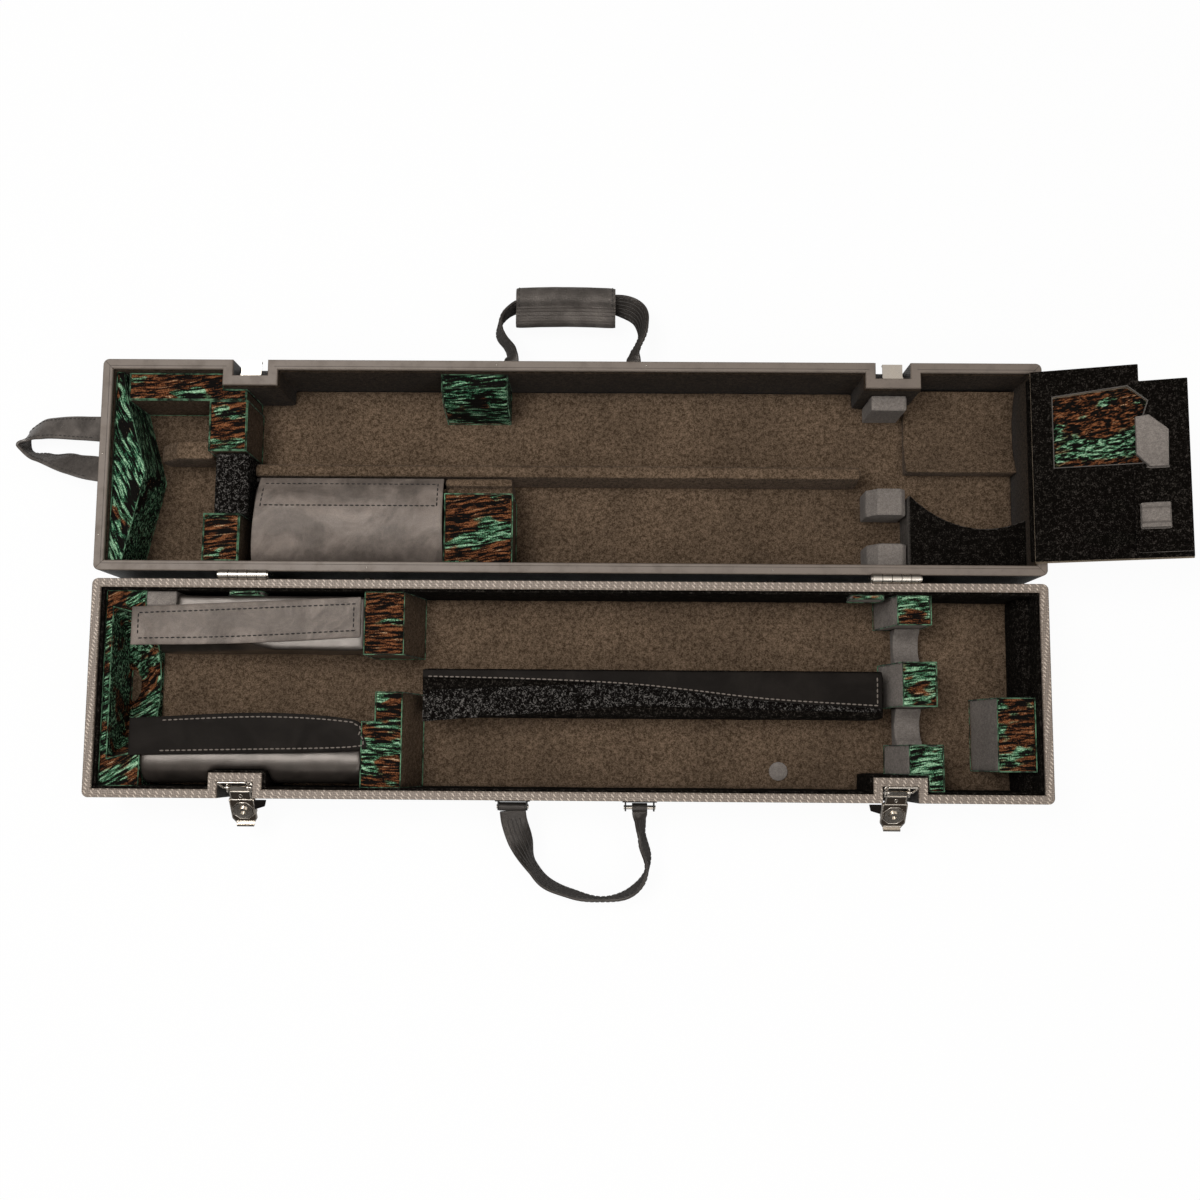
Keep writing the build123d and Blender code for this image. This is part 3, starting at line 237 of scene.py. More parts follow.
def velvet_group():
    """Crushed velvet: a dark ground with patches of green and of rust, both drawn in strokes along local X, each
    stroke's middle painted lighter as sheen.
    """
    wires, given, out = group(
        "Crushed velvet",
        {
            **{"Vector": VECTOR, "Ground": COLOUR, "Rust": COLOUR, "Green": COLOUR},
            **{"Green share": 0.5, "Rust share": 0.5, "Fill": 0.0},
        },
        COLOUR_AND_HEIGHT,
    )
    tint = colours()
    patch_scale, patch_edge = 45.0, 0.05
    bend_scale, bend_reach = 24.0, 0.007
    stroke_scale, crease_scale, grain_scale = 400.0, 110.0, 900.0
    warp = wires.node("ShaderNodeTexNoise", {"Vector": given["Vector"], "Scale": bend_scale, "Detail": 1.0})
    bend = wires.vector("SUBTRACT", {0: warp.outputs["Color"], 1: (0.5, 0.5, 0.5)})
    drift = wires.vector("SCALE", {0: bend, "Scale": bend_reach})
    bent = wires.vector("ADD", {0: given["Vector"], 1: drift})
    elsewhere = wires.vector("ADD", {0: bent, 1: (3.7, 1.9, 5.3)})

    def patches(place, narrow, share):
        """1 inside the patches of a colour, which cover more as its share grows."""
        level = wires.minus(0.72, wires.times(share, 0.42))
        cloud = wires.noise(wires.stretch(place, (narrow, 1.0, 1.0)), patch_scale, 2.0, 0.55)
        return wires.step(cloud, level, wires.plus(level, patch_edge))

    grain = wires.noise(given["Vector"], grain_scale, 2.0, 0.65)
    stroke = wires.noise(wires.stretch(bent, (0.12, 1.0, 1.0)), stroke_scale, 3.0, 0.6)
    rough = wires.line(grain, 0.22, wires.minus(wires.plus(stroke, given["Fill"]), 0.11))
    # painted sheen: core is the middle of each stroke, painted in the lit rust and lit green, with the pale crease
    # lines only there
    drawn, core = wires.step(rough, 0.48, 0.54), wires.step(rough, 0.54, 0.64)
    green = wires.times(patches(bent, 0.5, given["Green share"]), drawn)
    rust = wires.times(patches(elsewhere, 0.4, given["Rust share"]), drawn)
    crease = wires.noise(wires.stretch(elsewhere, (0.10, 1.0, 1.0)), crease_scale, 2.0, 0.5)
    ridge = wires.math("ABSOLUTE", wires.minus(crease, 0.5))
    thin = wires.minus(1.0, wires.step(ridge, 0.004, 0.014))
    rusty = wires.mix(rust, given["Ground"], given["Rust"])
    rust_lit = wires.mix(wires.times(rust, core), rusty, full(tint.velvet_rust_lit))
    lined = wires.mix(wires.times(thin, wires.times(core, 0.75)), rust_lit, full(tint.velvet_line))
    greened = wires.mix(green, lined, given["Green"])
    green_lit = wires.mix(wires.times(green, core), greened, full(tint.velvet_green_lit))
    wires.put(out["Color"], wires.shaded(green_lit, wires.line(wires.step(grain, 0.34, 0.66), 1.1, 0.42)))
    wires.put(out["Height"], wires.line(thin, 0.4, rough))


def hide_group():
    """Leather: pebbled grain, soft wear and a patchy gloss."""
    inputs = {"Vector": VECTOR, "Colour": COLOUR, "Gloss": 0.42, "Pebble": 720.0}
    wires, given, out = group("Hide", inputs, ALL_THREE)
    cells = {"Vector": given["Vector"], "Scale": given["Pebble"]}
    pebble = wires.step(wires.first("ShaderNodeTexVoronoi", cells, feature="DISTANCE_TO_EDGE"), 0.0, 0.14)
    mottle = wires.noise(given["Vector"], 120.0, 4.0, 0.6)
    worn = wires.step(wires.noise(given["Vector"], 20.0, 4.0, 0.6, 1.2), 0.35, 0.75)
    tone = wires.line(mottle, 0.7, wires.line(worn, 0.8, 0.25))
    dark = wires.line(pebble, 0.22, 0.78)
    wires.put(out["Color"], wires.shaded(given["Colour"], wires.times(tone, dark)))
    wires.put(out["Roughness"], wires.line(mottle, 0.16, wires.line(worn, -0.06, given["Gloss"])))
    wires.put(out["Height"], wires.line(mottle, 0.35, wires.times(pebble, 0.65)))


def twill_group():
    """A two by two twill on whichever faces lie along two of the axes: threads with painted light and shade across
    them, flecks and height.
    """
    wires, given, out = group(
        "Twill",
        {"Vector": VECTOR, "Normal": VECTOR, "Ground": COLOUR, "Fleck": COLOUR, "Thread": 1.75 * MM},
        COLOUR_AND_HEIGHT,
    )
    place, facing = wires.parts(given["Vector"]), wires.parts(given["Normal"])
    square_on = 0.7  # from here up, a face counts as facing along an axis
    sideways = wires.math("GREATER_THAN", wires.math("ABSOLUTE", facing[0]), square_on)
    upright = wires.math("GREATER_THAN", wires.math("ABSOLUTE", facing[2]), square_on)

    def choose(share, a, b):
        return wires.plus(wires.times(share, b), wires.times(wires.minus(1.0, share), a))

    def hump(value):
        """Rises from 0 to 1 and back over each whole number."""
        return wires.math("SINE", wires.times(wires.math("FRACT", value), pi))

    def fourth(value):
        return wires.math("FLOORED_MODULO", value, 4.0)

    across = wires.math("DIVIDE", choose(sideways, place[0], place[1]), given["Thread"])
    along = wires.math("DIVIDE", choose(upright, place[2], place[1]), given["Thread"])
    turn = fourth(wires.minus(wires.math("FLOOR", across), wires.math("FLOOR", along)))
    thread = choose(wires.math("LESS_THAN", turn, 1.5), hump(along), hump(across))
    patch = wires.noise(given["Vector"], 300.0, 2.0, 0.6)
    slanted, tall = wires.line(along, 0.8, across), wires.math("DIVIDE", along, 2.2)
    tier = fourth(wires.line(wires.math("FLOOR", tall), 2.0, wires.math("FLOOR", slanted)))
    oval = wires.step(wires.times(hump(slanted), hump(tall)), 0.08, 0.5)
    bright = wires.times(wires.math("LESS_THAN", tier, 0.5), oval)
    fleck = wires.times(bright, wires.step(patch, 0.25, 0.5))
    # painted light and shade on the round threads: 1.3 times the ground on their crowns, 0.55 times between them
    ground = wires.shaded(given["Ground"], wires.line(thread, 0.75, 0.55))
    wires.put(out["Color"], wires.mix(fleck, ground, given["Fleck"]))
    wires.put(out["Height"], thread)


def wear_group():
    """Smudges, dust and fine scratches over a colour, for plated metal and smooth mouldings."""
    inputs = {"Vector": VECTOR, "Colour": COLOUR, "Roughness": 0.3, "Dirt": 0.3}
    wires, given, out = group("Wear", inputs, ALL_THREE)
    smudge = wires.noise(given["Vector"], 55.0, 4.0, 0.6)
    brushed = wires.noise(wires.stretch(given["Vector"], (30.0, 900.0, 900.0)), 1.0, 3.0, 0.6)
    grit = wires.step(wires.noise(given["Vector"], 420.0, 3.0, 0.7), 0.56, 0.7)
    dirt = wires.times(wires.step(smudge, 0.45, 0.75), given["Dirt"])
    tone = wires.line(grit, -0.18, wires.line(dirt, -0.5, 1.0))
    wires.put(out["Color"], wires.shaded(given["Colour"], tone))
    wires.put(out["Roughness"], wires.line(smudge, 0.22, wires.line(dirt, 0.25, given["Roughness"])))
    wires.put(out["Height"], wires.line(brushed, 0.6, wires.times(grit, -0.4)))


# ---- materials
def surface(name, fixed):
    """A new material's wires, shader and object coordinates; fixed holds the shader's own constants."""
    material = bpy.data.materials.new(LOOK + name)
    material.use_nodes = True
    shader = material.node_tree.nodes["Principled BSDF"]
    for label, value in fixed.items():
        shader.inputs[label].default_value = value
    coordinates = material.node_tree.nodes.new("ShaderNodeTexCoord").outputs["Object"]
    return Wires(material.node_tree), shader, coordinates


def placed(wires, name, values):
    """The outputs of a node group put in a material, with its inputs set."""
    return wires.node("ShaderNodeGroup", values, node_tree=bpy.data.node_groups[name]).outputs


def finish_shader(wires, shader, colour, made, relief, swell=None):
    """Joins a colour and a group's other outputs to a shader; swell is a slower (height, relief) under its own."""
    wires.put(shader.inputs["Base Color"], colour)
    if "Roughness" in made:
        wires.put(shader.inputs["Roughness"], made["Roughness"])
    bump = wires.node("ShaderNodeBump", {"Height": made["Height"], "Distance": relief})
    if swell:
        under = wires.first("ShaderNodeBump", {"Height": swell[0], "Distance": swell[1]})
        wires.put(bump.inputs["Normal"], under)
    wires.put(shader.inputs["Normal"], bump.outputs[0])


def own_normal(wires):
    """Which way a face points in its piece's own space, so that nothing changes when its body turns."""
    facing = wires.node("ShaderNodeNewGeometry").outputs["True Normal"]
    ways = {"vector_type": "NORMAL", "convert_from": "WORLD", "convert_to": "OBJECT"}
    return wires.first("ShaderNodeVectorTransform", {"Vector": facing}, **ways)


def cloth(sheen):
    return {"Roughness": 0.95, "Sheen Weight": sheen, "Sheen Roughness": 0.5, "Specular IOR Level": 0.06}


def nap_inputs(place, shades, spread):
    """Shades are the ground and the tip; spread is where the speckle starts to turn to the tip, and ends."""
    ground, tip = shades
    values = {"Vector": place, "Ground": full(ground), "Tip": full(tip), "Low": spread[0], "High": spread[1]}
    return values


def napped(name, shades, speckle=760.0, spread=(0.38, 0.64), sheen=0.04, relief=0.5 * MM):
    """Short nap of two shades."""
    wires, shader, place = surface(name, cloth(sheen))
    made = placed(wires, "Nap", {**nap_inputs(place, shades, spread), "Speckle": speckle})
    finish_shader(wires, shader, made["Color"], made, relief)


def napped_over(name, top, side):
    """A nap on what faces up, and another on what faces sideways."""
    wires, shader, place = surface(name, cloth(0.0))
    flat = wires.step(wires.parts(own_normal(wires))[2], 0.45, 0.75)
    low_nap = placed(wires, "Nap", nap_inputs(place, side, (0.38, 0.64)))
    top_nap = placed(wires, "Nap", nap_inputs(place, top, (0.50, 0.68)))
    colour = wires.mix(flat, low_nap["Color"], top_nap["Color"])
    finish_shader(wires, shader, colour, low_nap, 0.5 * MM)


def crushed(name, turn, green, rust, fill=0.0, stretch=1.0, sides=None):
    """Crushed velvet whose strokes run at a turn about Z, in degrees; sides are the shades of its sides' nap."""
    fixed = {"Roughness": 0.8, "Sheen Weight": 0.015, "Sheen Roughness": 0.35, "Specular IOR Level": 0.08}
    wires, shader, place = surface(name, fixed)
    tint = colours()
    turned = wires.stretch(place, (1, 1, 1), (0, 0, radians(turn)))
    values = {
        "Vector": wires.stretch(turned, (1 / stretch, 1, 1)),
        "Ground": full(tint.velvet_ground),
        "Rust": full(tint.velvet_rust),
        "Green": full(tint.velvet_green),
        "Green share": green,
        "Rust share": rust,
        "Fill": fill,
    }
    made = placed(wires, "Crushed velvet", values)
    colour = made["Color"]
    if sides:
        flat = wires.step(wires.parts(own_normal(wires))[2], 0.5, 0.8)
        colour = wires.mix(flat, placed(wires, "Nap", nap_inputs(place, sides, (0.38, 0.64)))["Color"], colour)
    finish_shader(wires, shader, colour, made, 0.8 * MM)


def hide(name, shade, gloss, pebble=720.0, relief=0.18 * MM, coat=0.0, swell=2.0 * MM, shine=0.6):
    """Leather with a pebbled grain of a given scale over a slow swell."""
    fixed = {"Specular IOR Level": shine, "Specular Tint": full((1.0, 0.90, 0.82))}
    wires, shader, place = surface(name, {**fixed, "Coat Weight": coat, "Coat Roughness": 0.3})
    made = placed(wires, "Hide", {"Vector": place, "Colour": full(shade), "Gloss": gloss, "Pebble": pebble})
    finish_shader(wires, shader, made["Color"], made, relief, (wires.noise(place, 24.0, 2.0), swell))


def woven_band(name, ground, fleck, thread, rough):
    """Twill with light flecks, lacquered a little."""
    fixed = {"Roughness": rough, "Coat Weight": 0.15, "Coat Roughness": 0.35, "Specular IOR Level": 0.4}
    wires, shader, place = surface(name, fixed)
    values = {"Vector": place, "Normal": own_normal(wires), "Ground": full(ground), "Fleck": full(fleck)}
    made = placed(wires, "Twill", {**values, "Thread": thread})
    finish_shader(wires, shader, made["Color"], made, 0.25 * MM)


def worn(name, shade, rough, dirt, metal=0.0):
    """A smooth finish with wear and dirt."""
    wires, shader, place = surface(name, {"Metallic": metal, "Specular IOR Level": 0.5})
    made = placed(wires, "Wear", {"Vector": place, "Colour": full(shade), "Roughness": rough, "Dirt": dirt})
    finish_shader(wires, shader, made["Color"], made, 0.03 * MM)


def shades(share, *tints):
    """Each of the colours, lighter or darker by a share."""
    made = [[value * share for value in tint] for tint in tints]
    return made if len(made) > 1 else made[0]


def make_materials():
    for build in (nap_group, velvet_group, hide_group, twill_group, wear_group):
        build()
    tint = colours()
    velour, loops = (tint.velour, tint.velour_nap), (tint.loop, tint.loop_nap)
    brown, grey = (tint.felt_dark, tint.felt), (shades(0.62, tint.foam), tint.foam)
    napped("felt_brown", (shades(1.1, tint.felt_dark), shades(1.15, tint.felt)))
    # painted shade: the lid's wall felt is the brown felt made about a third as light, for the shadow on the walls
    # under the rim
    napped("felt_wall_shaded", (shades(0.3, tint.felt_dark), shades(0.35, tint.felt)))
    napped("velour_black", velour, spread=(0.50, 0.66), sheen=0.0)
    napped("foam_grey", grey, speckle=900.0)
    napped("loop_black", loops, speckle=800.0, spread=(0.51, 0.62), sheen=0.0, relief=1.0 * MM)
    napped_over("velour_on_board", velour, (shades(0.45, tint.board), tint.board))
    napped_over("velour_on_foam", velour, (shades(0.3, tint.foam), shades(0.6, tint.foam)))
    # painted light: the felt sides of the near and far posts and the grey sides of the saddles are lighter copies of
    # the felt and foam (1.4, 1.2 and 1.25 times), to lift those upright faces out of their shade
    crushed("velvet_posts", 4, 0.54, 1.0, sides=shades(1.4, *brown))
    crushed("velvet_stop", -4, 0.56, 1.0, sides=grey)
    crushed("velvet_far_post", -2, 0.22, 1.0, sides=shades(1.2, *brown))
    crushed("velvet_saddles", -6, 0.66, 1.0, fill=0.02, sides=shades(1.25, *grey))
    crushed("velvet_corner", -30, 0.66, 0.85)
    crushed("velvet_leaning", 62, 0.80, 0.45)
    crushed("velvet_lid", -8, 0.45, 0.95, sides=brown)
    crushed("velvet_lid_green", -6, 0.85, 0.60, fill=-0.02)
    crushed("velvet_pocket", -10, 0.50, 0.90, fill=-0.01, stretch=4.0)
    # painted sheen: the bead's lighter green along the velvet's upper edges
    napped("velvet_bead_sheen", (tint.bead_dark, tint.bead), speckle=110.0, spread=(0.42, 0.60), sheen=0.1)
    strap = tint.leather_strap
    # painted sheen: the flaps' leather is the black leather made 4.6 times lighter, for the grey sheen on their tops
    hide("leather_flap_sheen", shades(4.6, tint.leather), 0.38, relief=0.12 * MM, swell=5.0 * MM)
    hide("leather_bolster", shades(0.9, tint.leather), 0.27, relief=0.05 * MM, shine=1.0)
    hide("leather_black", shades(0.22, tint.leather), 0.46, relief=0.08 * MM, shine=0.1)
    hide("leather_strap", strap, 0.33, pebble=900.0, relief=0.1 * MM, coat=0.15)
    # painted sheen in part: the grip's and the end loop's leather are the strap leather made 3 and 3.6 times lighter,
    # for the highlight on the grip's roll and on the loop's face
    hide("leather_grip_sheen", shades(3.0, strap), 0.46, pebble=520.0, relief=0.3 * MM)
    hide("leather_smooth", shades(3.6, strap), 0.20, pebble=1500.0, relief=0.03 * MM, coat=0.5)
    woven_band("rim_twill", tint.twill, tint.twill_fleck, 1.75 * MM, 0.5)
    woven_band("shell_twill", tint.shell, shades(3.0, tint.shell), 1.6 * MM, 0.35)
    for name, shade, rough, dirt, metal in (
        ("thread_strap", shades(1.2, strap), 0.5, 0.3, 0.0),
        ("piping", tint.piping, 0.7, 0.3, 0.0),
        ("thread_dark", tint.thread, 0.7, 0.3, 0.0),
        ("thread_light", tint.thread_light, 0.7, 0.3, 0.0),
        ("rim_taupe", tint.rim, 0.42, 0.35, 0.0),
        # dark joint lines of the moulding, and painted shade for its groove
        ("rim_dark_joints_and_groove_shade", shades(0.28, tint.rim), 0.6, 0.5, 0.0),
        ("nickel", tint.nickel, 0.16, 0.45, 1.0),
        # painted shade in the lever pockets and the knuckle gaps
        ("dark_recess_shade", tint.recess_shade, 0.35, 0.4, 0.5),
        ("black_metal", tint.black_metal, 0.38, 0.3, 0.0),
        ("board_edge", tint.board, 0.8, 0.4, 0.0),
    ):
        worn(name, shade, rough, dirt, metal)


# ---- modelling helpers
def mm(*values):
    return Vector(values) * MM


def select_only(*pieces):
    bpy.ops.object.select_all(action="DESELECT")
    for piece in pieces:
        piece.select_set(True)
    bpy.context.view_layer.objects.active = pieces[-1]


def added(name, primitive, **settings):
    """A new primitive, selected by itself."""
    bpy.ops.object.select_all(action="DESELECT")
    getattr(bpy.ops.mesh, f"primitive_{primitive}_add")(**settings)
    bpy.ops.object.transform_apply(location=True)
    bpy.context.object.name = name
    return bpy.context.object


def edit_all(piece):
    """Opens a piece in edit mode with all of it selected."""
    select_only(piece)
    bpy.ops.object.mode_set(mode="EDIT")
    bpy.ops.mesh.select_all(action="SELECT")


def leave_edit():
    bpy.ops.object.mode_set(mode="OBJECT")


def modify(piece, kind, **settings):
    """Adds a modifier with these settings and applies it."""
    select_only(piece)
    made = piece.modifiers.new(kind.lower(), kind)
    for key, value in settings.items():
        setattr(made, key, value)
    bpy.ops.object.modifier_apply(modifier=made.name)


def wear_look(piece, material, angle):
    """Gives a piece one material, and smooth shading below an angle in degrees."""
    piece.data.materials.clear()
    piece.data.materials.append(bpy.data.materials[LOOK + material])
    select_only(piece)
    bpy.ops.object.shade_smooth_by_angle(angle=radians(angle))


def dress(node, material):
    """Gives a CAD node that keeps its shape a better finish."""
    wear_look(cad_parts[node], material, 35)


def finish_piece(piece, body, material, angle=40):
    """Gives a piece its finish and its body."""
    wear_look(piece, material, angle)
    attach(piece, body)


def copied(node, name):
    """A merged copy of a node's mesh as a new piece with flat faces joined."""
    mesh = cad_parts[node].data.copy()
    mesh.materials.clear()
    piece = bpy.data.objects.new(name, mesh)
    bpy.context.scene.collection.objects.link(piece)
    edit_all(piece)
    bpy.ops.mesh.remove_doubles(threshold=SAME_POINT)
    bpy.ops.mesh.dissolve_limited(angle_limit=radians(1))
    leave_edit()
    return piece


def push_out(piece, distance):
    """Moves every point along its normal by distance(point)."""
    normals = [vertex.normal.copy() for vertex in piece.data.vertices]
    for vertex, normal in zip(piece.data.vertices, normals):
        vertex.co += normal * distance(vertex.co)


def ripple(piece, height, spread, seed=0.0):
    """Makes a surface uneven by a slow noise, as stuffing does under a cover."""
    shift = Vector((seed, seed, seed))
    push_out(piece, lambda point: height * noise.noise(point / spread + shift))


def softened(node, name, cell, rounds, height=0.4 * MM, spread=28 * MM):
    """A block of foam under a cover: the node's own shape with its edges rounded off and its faces uneven."""
    piece = copied(node, name)
    modify(piece, "REMESH", mode="VOXEL", voxel_size=cell)
    modify(piece, "SMOOTH", factor=0.5, iterations=rounds)
    ripple(piece, height, spread, len(name))
    return piece


def block(node, name, body, slot, material, cell, rounds=2, fill=None, angle=40, **uneven):
    """A softened piece in place of a node; fill, how much of its bulk is padding, is not used."""
    piece = softened(node, name, cell, rounds, **uneven)
    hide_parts(node)
    finish_piece(piece, body, material, angle)


def bevelled(node, name, width):
    """A copy of a node with its edges rounded by a bevel, in place of it."""
    piece = copied(node, name)
    modify(piece, "BEVEL", width=width, segments=3, limit_method="ANGLE", angle_limit=radians(30))
    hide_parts(node)
    return piece


def edge_bead(node, name, radius, wanted):
    """A bead along the sharp edges of a node that wanted accepts by their two ends."""
    source = copied(node, name + "_source")
    bpy.ops.object.mode_set(mode="EDIT")
    bpy.ops.mesh.select_mode(type="EDGE")
    bpy.ops.mesh.select_all(action="DESELECT")
    bpy.ops.mesh.edges_select_sharp(sharpness=radians(30))
    shape = bmesh.from_edit_mesh(source.data)
    for edge in shape.edges:
        if edge.select and not wanted(edge.verts[0].co, edge.verts[1].co):
            edge.select = False
    bmesh.update_edit_mesh(source.data)
    bpy.ops.mesh.duplicate()
    bpy.ops.mesh.separate(type="SELECTED")
    leave_edit()
    piece = next(o for o in bpy.context.selected_objects if o != source)
    bpy.data.objects.remove(source)
    piece.name = name
    edit_all(piece)
    bpy.ops.mesh.delete(type="ONLY_FACE")
    leave_edit()
    bpy.ops.object.convert(target="CURVE")
    return swept(piece, radius, 2)


def swept(piece, radius, roundness):
    """A curve given its round section and made a mesh."""
    piece.data.bevel_depth = radius
    piece.data.bevel_resolution = roundness
    piece.data.use_fill_caps = True
    select_only(piece)
    bpy.ops.object.convert(target="MESH")
    return piece


def drawn(name, lines, radius, roundness, cyclic=False):
    """A round thread through each of the lines of points, all as one mesh."""
    curve = bpy.data.curves.new(name, "CURVE")
    curve.dimensions = "3D"
    for points in lines:
        spline = curve.splines.new("POLY")
        spline.points.add(len(points) - 1)
        for point, place in zip(spline.points, points):
            point.co = (*place, 1.0)
        spline.use_cyclic_u = cyclic
    piece = bpy.data.objects.new(name, curve)
    bpy.context.scene.collection.objects.link(piece)
    return swept(piece, radius, roundness)


def tube(name, points, radius, cyclic=False):
    """A smooth round bead through a line of points."""
    return drawn(name, [points], radius, 3, cyclic)


def stitches(name, points, radius):
    """Short threads along a line of points, one after another, as one mesh."""
    stitch, pitch = sizes().stitch, sizes().stitch_pitch
    sink = Vector((0, 0, radius * 0.8))
    threads = []
    for count in range(floor(run_of(points) / pitch)):
        middle, way = along(points, count * pitch + pitch / 2)
        threads.append((middle - way * stitch / 2 - sink, middle, middle + way * stitch / 2 - sink))
    return drawn(name, threads, radius, 1)


def run_of(points):
    """The length of a line of points."""
    return sum((b - a).length for a, b in zip(points, points[1:]))


def along(points, distance):
    """The point at a distance along a line of points, and its direction there."""
    for start, end in zip(points, points[1:]):
        run = (end - start).length
        if distance <= run:
            return start + (end - start) * (distance / run), (end - start).normalized()
        distance -= run
    return points[-1], (points[-1] - points[-2]).normalized()


def smooth_line(points, count):
    """Points evenly spaced along a smooth curve through the given ones."""
    ends = [points[0] * 2 - points[1], *points, points[-1] * 2 - points[-2]]
    parts = 20
    fine = []
    for a, b, c, d in zip(ends, ends[1:], ends[2:], ends[3:]):
        for part in range(parts):
            t = part / parts
            square, cube = a * 2 - b * 5 + c * 4 - d, b * 3 - a - c * 3 + d
            fine.append((b * 2 + (c - a) * t + square * t**2 + cube * t**3) / 2)
    fine.append(points[-1])
    total = run_of(fine)
    return [along(fine, total * step / (count - 1))[0] for step in range(count)]


def on_line(line, share):
    """The point at a share of a line of evenly spaced points."""
    place = share * (len(line) - 1)
    index = min(int(place), len(line) - 2)
    return line[index].lerp(line[index + 1], place - index)


def eased(pairs, value):
    """The value at a place from (place, value) pairs, level at each of them."""
    for (start, low), (end, high) in zip(pairs, pairs[1:]):
        if value <= end:
            share = (value - start) / (end - start)
            return low + (high - low) * share * share * (3 - 2 * share)
    return pairs[-1][1]


def grid(name, columns, rows, place):
    """A sheet of quads whose points are put by place(u, v), with u and v from 0 to 1."""
    piece = added(name, "grid", x_subdivisions=columns, y_subdivisions=rows, size=1)
    for vertex in piece.data.vertices:
        vertex.co = place(vertex.co.x + 0.5, vertex.co.y + 0.5)
    return piece


def hide_sheet(name, columns, rows, place, thickness, offset=1):
    """A leather sheet with rounded edges, whose lower face, or middle with offset 0, is put by place(u, v)."""
    piece = grid(name, columns, rows, place)
    modify(piece, "SOLIDIFY", thickness=thickness, offset=offset)
    modify(piece, "BEVEL", width=thickness * 0.35, segments=2, limit_method="ANGLE", angle_limit=radians(50))
    return piece


def joined(name, *pieces):
    """Several meshes as one piece."""
    select_only(*pieces)
    bpy.ops.object.join()
    bpy.context.object.name = name
    return bpy.context.object


def slab(name, corners, thickness):
    """A flat piece with the given corners, counter-clockwise from above, grown upwards."""
    piece = added(name, "circle", vertices=len(corners), radius=1, fill_type="NGON")
    for vertex, corner in zip(piece.data.vertices, corners):
        vertex.co = corner
    piece.data.update()
    if piece.data.polygons[0].normal.z < 0:
        edit_all(piece)
        bpy.ops.mesh.flip_normals()
        leave_edit()
    modify(piece, "SOLIDIFY", thickness=thickness, offset=1)
    return piece


def sewn(name, place, path, lift):
    """Stitches along straight runs of a sheet's own (u, v), lifted off its lower face."""
    raised, steps = Vector((0, 0, lift)), 16
    points = []
    for (u, v), (next_u, next_v) in zip(path, path[1:]):
        for step in range(steps):
            share = step / steps
            points.append(place(u + (next_u - u) * share, v + (next_v - v) * share) + raised)
    points.append(place(*path[-1]) + raised)
    return stitches(name, points, sizes().thread)


def height_on(node):
    """A function that gives the top of a node at a place in plan."""
    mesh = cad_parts[node].data
    tree = BVHTree.FromPolygons([v.co for v in mesh.vertices], [p.vertices for p in mesh.polygons])
    low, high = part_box(node)
    inside = 0.6 * MM

    def top(x, y):
        x = min(max(x, low.x + inside), high.x - inside)
        y = min(max(y, low.y + inside), high.y - inside)
        place = tree.ray_cast(Vector((x, y, high.z + 1)), Vector((0, 0, -1)))[0]
        return place.z if place else low.z

    return top


# ---- operators
class Step(bpy.types.Operator):
    """Base of the case's operators."""

    bl_options = {"REGISTER", "UNDO"}


class CASE_OT_finishes(Step):
    """Builds the node groups and every material."""

    bl_idname = "case.finishes"
    bl_label = "Finishes"

    def execute(self, context):
        make_materials()
        return {"FINISHED"}


